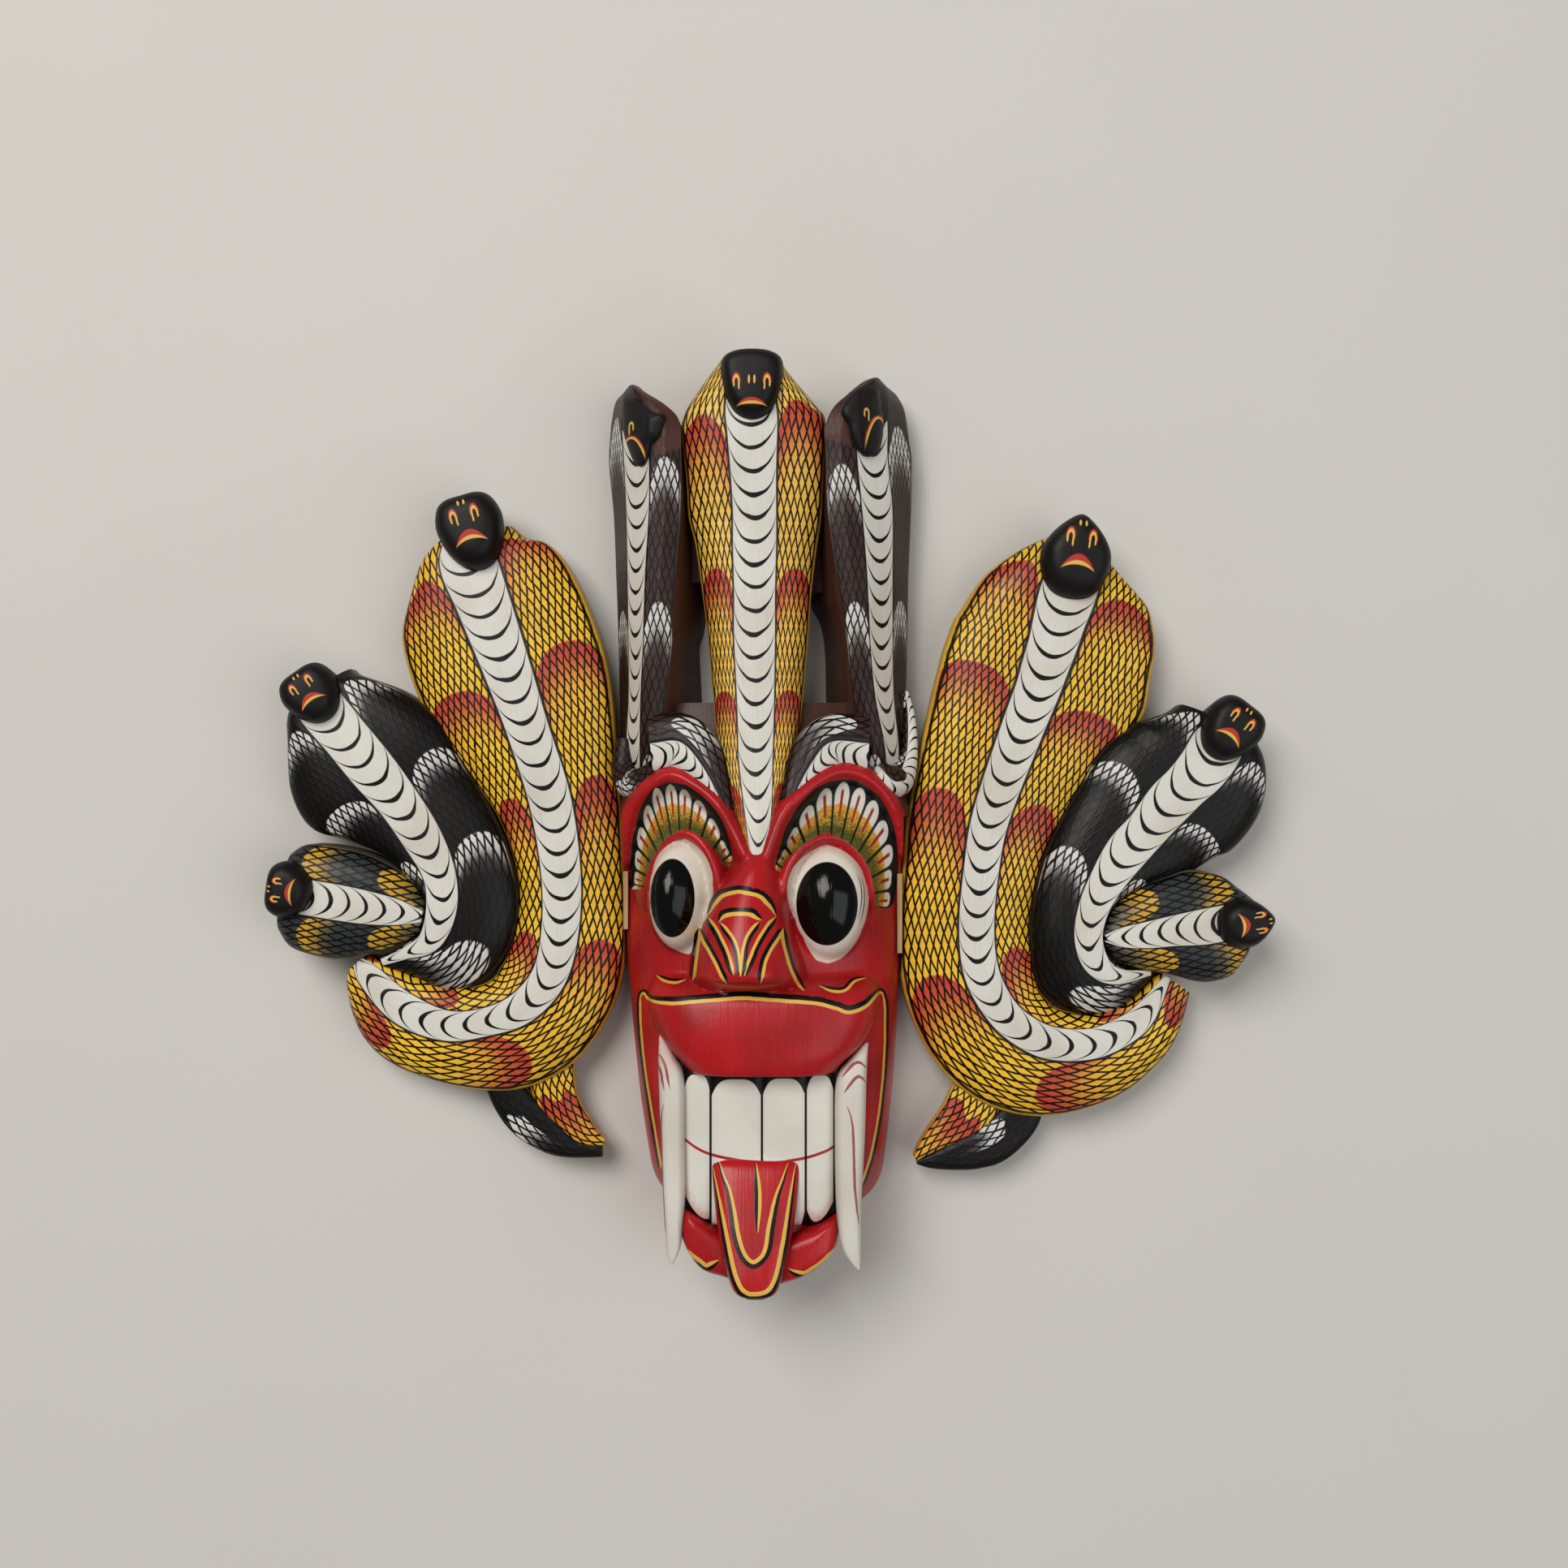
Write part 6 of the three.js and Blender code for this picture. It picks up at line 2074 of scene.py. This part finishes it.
NOSE_ARC = Line(((870.5, 1127), (874, 1122.9), (879.7, 1111.6), (888.9, 1101.9), (905.2, 1096.8),
                 (915.4, 1096.8), (936.8, 1102), (947, 1111.6), (953.2, 1120.8), (956.5, 1128.5)),
                 5.5, 5.0, False)
NOSE_INNER_ARC = Line(((885.3, 1135.6), (889.9, 1128), (896, 1124.9), (905.2, 1123.4), (916.4, 1123.4),
                       (926.6, 1124.9), (932.8, 1129), (938.9, 1133.6)), 5.8, 5.2, False)
NOSE_LINES = (
    Line(((871.7, 1130), (875.6, 1137), (881.7, 1146.3), (887.9, 1158.6), (894, 1171.8), (899, 1187),
    (903, 1202)),
         5.0, 3.8, True, 0.12),
    Line(((886.8, 1137), (894, 1146.3), (901, 1155.5), (906.2, 1166.7), (908.8, 1178), (910.3, 1192),
    (911.3, 1204)),
         4.0, 3.8, True, 0.12),
    Line(((935.8, 1135.6), (929.7, 1143.3), (922.6, 1153.5), (918.5, 1164.7), (916.4, 1177), (915.4, 1187),
          (913.4, 1204)), 4.4, 3.8, False, 0.12),
    Line(((956.2, 1130), (947, 1141.2), (938.9, 1153.5), (931.7, 1166.7), (925.6, 1182), (920.5, 1194.3),
          (918, 1203)), 4.6, 3.8, False, 0.12))
WING_LINES = (
    Line(((861.3, 1143), (859.3, 1156.5), (857.2, 1171.8), (855.2, 1187), (852.6, 1209)),
    4.4, 4.0, True, 0.12),
    Line(((862.5, 1144), (867.4, 1157.6), (875.6, 1171.8), (883.8, 1187), (889.9, 1200.4), (896, 1212)),
    4.2, 4.0,
         False, 0.12),
    Line(((964.8, 1143), (957.2, 1155.5), (949, 1167.8), (943, 1180), (939.9, 1190.2), (936.8, 1211)),
    4.8, 4.0,
         True, 0.12),
    Line(((965.2, 1143), (967.4, 1159.6), (971.5, 1177), (976.6, 1193.3), (983.8, 1208.6), (992, 1221)),
    4.2, 4.2,
         False, 0.12))
MOUTH_LINE = Line(((787, 1241), (788, 1228), (793, 1222), (803, 1231), (826, 1234), (850, 1232.5),
                   (880, 1230), (914, 1227.5), (940, 1229), (975, 1231.5), (1005, 1234), (1030, 1240),
                   (1046, 1245), (1066, 1238), (1082, 1222), (1088.5, 1224), (1091.5, 1237), (1092, 1243)),
                   6.2, 4.6, False, 0.16, 9.0)
JAW_LINES = (
    Line(((788, 1228), (787.3, 1241), (788.5, 1270), (793, 1315), (800, 1360), (807, 1402), (814, 1442)),
    3.0, 2.8,
         True, 0.03),
    Line(((1088.5, 1224), (1091.5, 1237), (1092, 1265), (1091, 1300), (1088.5, 1335), (1083, 1380),
    (1074, 1425),
          (1062, 1462)), 3.4, 2.8, False, 0.03))
CHEEK_CURLS = (
    Line(((808, 1201), (820, 1207), (832, 1209), (845, 1206)), 3.6, 3.4, False, 0.3),
    Line(((1008, 1213), (1024, 1219), (1040, 1219), (1052, 1208), (1068, 1204)), 3.6, 3.4, False, 0.3))
LIP_LINES = (
    Line(((840.7, 1537.4), (850.3, 1547.7), (860.5, 1555.3), (869.4, 1561.7), (877, 1559), (886, 1552.8)),
    4.2, 5.0,
         True, 0.2),
    Line(((970.2, 1563), (979, 1568), (990.6, 1570.6), (1000.8, 1565.5), (1013.6, 1556.6), (1026.3, 1543.8),
          (1032, 1534.9)), 4.6, 4.4, True, 0.2))
EYE_ARCS = (
    Line(((1051.7, 1070), (1058.3, 1081.7), (1061.7, 1093.3), (1062.5, 1106.7), (1060.8, 1120),
    (1055, 1140)), 1.3,
         0.0, True, 0.4, 5.0),
    Line(((1056.7, 1075), (1063.3, 1086.7), (1065.5, 1100), (1065.3, 1115), (1062.5, 1128.3),
    (1055.8, 1146.7)), 1.3,
         0.0, True, 0.4, 5.0))
FACE_SETS: dict[str, tuple[Line, ...]] = {
    "face_line_0": (NOSE_ARC, MOUTH_LINE) + LIP_LINES,
    "face_line_1": (NOSE_INNER_ARC, WING_LINES[0], WING_LINES[3]),
    "face_line_2": (NOSE_LINES[0], NOSE_LINES[3]) + JAW_LINES,
    "face_line_3": (NOSE_LINES[1], WING_LINES[2], EYE_ARCS[0]) + CHEEK_CURLS,
    "face_line_4": (NOSE_LINES[2], WING_LINES[1], EYE_ARCS[1])}
TONGUE_SETS: dict[str, tuple[Line, ...]] = {
    "tongue_line_0": (
        Line(((877.7, 1436), (882.8, 1466), (888.6, 1497.9), (893.7, 1527.2), (900, 1559.1), (906.4, 1579.5),
              (912.8, 1591), (921.7, 1596.8), (928, 1597.4), (937, 1596.8), (946, 1593.6), (953.6, 1584.6),
              (960, 1568), (966.4, 1536.2), (970.2, 1510.7), (975.3, 1472.4), (981.7, 1430)),
              4.6, 5.4, True, 0.3),),
    "tongue_line_1": (
        Line(((884, 1426), (891, 1449.4), (897.5, 1466), (902.6, 1491.5), (906.4, 1517), (911.5, 1537.4),
              (917.9, 1550.2), (925.6, 1557.2), (932, 1556.6), (940.9, 1548.9), (946, 1536.2),
              (949.8, 1510.7), (956.2, 1478.8), (962.6, 1459.6), (973, 1430)), 5.4, 4.8, True, 0.3),
        Line(((931.3, 1432), (933.9, 1466), (933.9, 1491.5), (933.2, 1521)), 4.8, 4.2, True, 0.35))}
TUSK_SETS: dict[str, tuple[Line, ...]] = {
    "tusk_line_0": (
        Line(((811, 1297), (817, 1303.5), (822, 1316), (826, 1342)), 3.4, 0.0, True, 0.3),
        Line(((819, 1357), (816, 1374), (816, 1405), (818, 1469), (821, 1522)), 3.2, 0.0, True, 0.3),
        Line(((1037, 1327), (1043, 1318), (1050, 1310), (1057, 1307), (1063, 1309.5), (1068, 1316)),
        3.8, 0.0, True,
             0.3),
        Line(((1042, 1359), (1049, 1374), (1052.5, 1393), (1053.5, 1416), (1055, 1461), (1059, 1514)),
        3.4, 0.0, True,
             0.3)),
    "tusk_line_1": (
        Line(((810.5, 1310), (814.5, 1317), (817, 1327), (818.5, 1342)), 3.2, 0.0, True, 0.3),
        Line(((1039, 1348), (1044, 1338.5), (1050, 1330), (1057, 1324.5), (1063, 1327), (1067.5, 1334)),
        3.8, 0.0,
             True, 0.3))}


@dataclass(frozen=True)
class ToothDrawing:
    """The teeth on the front view: rounded tops, a bite line and rounded lower ends."""

    tops: tuple[float, ...] = (1322.0, 1328.0, 1327.0, 1323.0)
    notch: float = 24.0
    bottoms: tuple[float, ...] = (1504.0, 1560.0, 1523.0, 1507.5)
    lowest: tuple[float, ...] = (0.88, 0.5, 0.75, 0.32)
    left_bend: tuple[float, ...] = (45.0, 0.0, 60.0, 190.0)
    right_bend: tuple[float, ...] = (500.0, 0.0, 560.0, 62.0)
    bite: Rows = ((840, 1401), (844, 1404), (859.2, 1415), (877, 1422.7), (906.4, 1429), (939, 1431.6),
                  (962.6, 1431.6), (993.2, 1426.5), (1013.6, 1420), (1023.8, 1415), (1032, 1408))

    def marks(self, pixels: Array) -> Array:
        """Measure the teeth at places on the front view.

        Args:
            pixels: Columns and rows of the places.

        Returns:
            Distance inside a tooth, distance below the bite line and distance from a tooth's end.
        """
        gaps = np.array(TOOTH_GAPS)
        index = np.clip(np.searchsorted(gaps, pixels[:, 0]) - 1, 0, len(gaps) - 2)
        share = np.clip((pixels[:, 0] - gaps[index]) / (gaps[index + 1] - gaps[index]), 0.0, 1.0)
        top = np.array(self.tops)[index] + self.notch * np.abs(2 * share - 1) ** 4
        aside = share - np.array(self.lowest)[index]
        bend = np.where(aside < 0, np.array(self.left_bend)[index], np.array(self.right_bend)[index])
        bottom = np.array(self.bottoms)[index] - bend * aside ** 2
        inside = np.minimum(pixels[:, 1] - top, bottom - pixels[:, 1])
        curve = smooth_rows(self.bite, 6)
        bite = pixels[:, 1] - np.interp(pixels[:, 0], curve[:, 0], curve[:, 1])
        return np.stack([inside, bite, bottom - pixels[:, 1]], axis=1)


@dataclass(frozen=True)
class Painting:
    """Writes the painter's drawing on a carved face, for its finishes to read."""

    nose_column: float = 930.0

    def line_field(self, pixels: Array, lines: tuple[Line, ...]) -> Array:
        """Measure a set of lines that keep clear of each other."""
        found = np.tile(np.array([FAR_OFF, 0.0, 0.0]), (len(pixels), 1))
        nearest = np.full(len(pixels), np.inf)
        for line in lines:
            marks, distance = line.marks(pixels)
            closer = distance < nearest
            found[closer] = marks[closer]
            nearest[closer] = distance[closer]
        return found

    def brow_field(self, points: Array) -> Array:
        """Give how far each point lies from the line of the brows, in millimetres, positive above it."""
        line = np.vstack([smooth_rows(rows, 8) for rows in BROW_ARCHES])[:, :2]
        above = points[:, 1] - np.interp(points[:, 0], line[:, 0], line[:, 1])
        gap = np.full(len(points), np.inf)
        for place in line:
            gap = np.minimum(gap, np.hypot(points[:, 0] - place[0], points[:, 1] - place[1]))
        return np.column_stack([np.sign(above) * gap, np.zeros((len(points), 2))])

    def lay_out(self, mesh: bpy.types.Mesh) -> None:
        """Write every field of the drawing on a mesh."""
        flat = np.zeros(len(mesh.vertices) * 3, dtype=np.float32)
        mesh.vertices.foreach_get("co", flat)
        points = flat.reshape(-1, 3).astype(float) / MILLIMETRE
        pixels = VIEW.draw(points)
        left_petals, left_eye = LEFT_EYE.marks(pixels)
        right_petals, right_eye = RIGHT_EYE.marks(pixels)
        on_left = (pixels[:, :1] < self.nose_column)
        write_marks(mesh, "petal_field", np.where(on_left, left_petals, right_petals))
        write_marks(mesh, "eye_field", np.where(on_left, left_eye, right_eye))
        write_marks(mesh, "tooth_field", ToothDrawing().marks(pixels))
        write_marks(mesh, "brow_field", self.brow_field(points))
        for sets in (FACE_SETS, TONGUE_SETS, TUSK_SETS):
            for name, lines in sets.items():
                write_marks(mesh, name, self.line_field(pixels, lines))


# Studio


@dataclass(frozen=True)
class WallFinish(Finish):
    """The plain pale surface that the mask lies on."""

    tint: Colour = srgb(206, 203, 197)
    shade: Colour = srgb(199, 195, 188)
    roughness: float = 0.8
    relief: float = 0.05

    def paint(self, bench: Bench) -> tuple[Wire, Wire]:
        """Give a nearly even pale grey."""
        cloud = bench.noise(bench.object_place(), 6.0, 3.0)
        fine = bench.noise(bench.object_place(), 240.0, 2.0)
        return bench.blend(cloud.above(0.5, 0.8) * 0.3, self.tint, self.shade), fine


@dataclass
class Studio:
    """Floor, soft lights and the camera, which looks straight down on the mask."""

    half_floor: float = 1.6
    sensor: float = 36.0
    room: Colour = srgb(235, 233, 230)
    room_light: float = 0.22
    lamps: tuple[tuple[str, Row, float, float, Row], ...] = (
        ("key", (-0.95, 1.15, 2.3), 1.4, 54.0, (1.0, 0.985, 0.96)),
        ("fill", (1.5, -0.4, 2.2), 2.3, 26.0, (0.96, 0.98, 1.0)))

    def floor(self) -> Piece:
        """Lay the pale floor."""
        mesh = bpy.data.meshes.new("pale_floor")
        side = self.half_floor
        corners = [(-side, -side, 0), (side, -side, 0), (side, side, 0), (-side, side, 0)]
        mesh.from_pydata(corners, [], [(0, 1, 2, 3)])
        mesh.materials.append(WallFinish("pale_wall").material())
        made = bpy.data.objects.new("pale_floor", mesh)
        bpy.context.scene.collection.objects.link(made)
        return made

    def light(self, name: str, place: Row, size: float, power: float, tint: Row) -> None:
        """Hang a square soft light that faces the middle of the mask.

        Args:
            name: Name of the light.
            place: Where it hangs, in metres.
            size: Its side in metres.
            power: Its power in watts.
            tint: Its colour.
        """
        lamp = bpy.data.lights.new(name, "AREA")
        lamp.shape = "SQUARE"
        lamp.size = size
        lamp.energy = power
        lamp.color = tint
        made = bpy.data.objects.new(name, lamp)
        bpy.context.scene.collection.objects.link(made)
        made.location = place
        made.rotation_euler = (-Vector(place)).to_track_quat("-Z", "Y").to_euler()

    def camera(self) -> None:
        """Set the camera at the picture's place over the mask."""
        lens = bpy.data.cameras.new("front_view")
        lens.sensor_fit = "AUTO"
        lens.sensor_width = self.sensor
        lens.lens = self.sensor * VIEW.distance / (2.0 * VIEW.middle * VIEW.pixel)
        lens.clip_start = 0.01
        made = bpy.data.objects.new("front_view", lens)
        bpy.context.scene.collection.objects.link(made)
        made.location = (VIEW.across * MILLIMETRE, VIEW.up * MILLIMETRE, VIEW.distance * MILLIMETRE)
        bpy.context.scene.camera = made

    def build(self) -> Piece:
        """Set up the whole studio and give its floor."""
        for lamp in self.lamps:
            self.light(*lamp)
        world = bpy.data.worlds.new("soft_room")
        world.use_nodes = True
        ground = world.node_tree.nodes["Background"]
        ground.inputs["Color"].default_value = self.room
        ground.inputs["Strength"].default_value = self.room_light
        bpy.context.scene.world = world
        bpy.context.scene.view_settings.view_transform = "Standard"
        self.camera()
        return self.floor()


def heads(side: str, rows: Rows, ends: HeadOutline = HeadOutline.CAPPED) -> tuple[CobraHead, ...]:
    """Give the three heads of a wing, the first and last with their own outline."""
    outlines = (ends, HeadOutline.CAPPED, ends)
    return tuple(CobraHead(f"{side}_head_{index}", *row, outline=outline)
                 for index, (row, outline) in enumerate(zip(rows, outlines)))


def main() -> None:
    """Build the mask, its wings and the studio."""
    logging.basicConfig(level=logging.INFO, format="%(name)s: %(message)s")
    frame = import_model()
    LOG.info("frame loaded: %s", type(frame).__name__)
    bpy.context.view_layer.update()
    face = Face()
    left = Wing("left_wing_carving", "left_cobra_wing", "left_wing_paint",
                wing_bodies("left", (LEFT_YELLOW, LEFT_DARK, LEFT_SMALL), LEFT_TAILS, LEFT_SPOTS,
                            LEFT_TAIL_SPOTS),
                heads("left", LEFT_HEADS), LEFT_SEAT - GLUE_GAP, -SEAT_REACH)
    right = Wing("right_wing_carving", "right_cobra_wing", "right_wing_paint",
                 wing_bodies("right", (RIGHT_YELLOW, RIGHT_DARK, RIGHT_SMALL), RIGHT_TAILS, RIGHT_SPOTS,
                             RIGHT_TAIL_SPOTS),
                 heads("right", RIGHT_HEADS, HeadOutline.POINTED), SEAT_REACH, RIGHT_SEAT + GLUE_GAP)
    pieces = [(face.build(Crown()), face.node, face.slot)]
    pieces += [(wing.build(), wing.node, wing.slot) for wing in (left, right)]
    for piece, node, slot in pieces:
        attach(piece, "root")
        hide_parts(node)
        LOG.info("%s: %d faces", piece.name, len(piece.data.polygons))
    Studio().build()


if __name__ == "__main__":
    main()
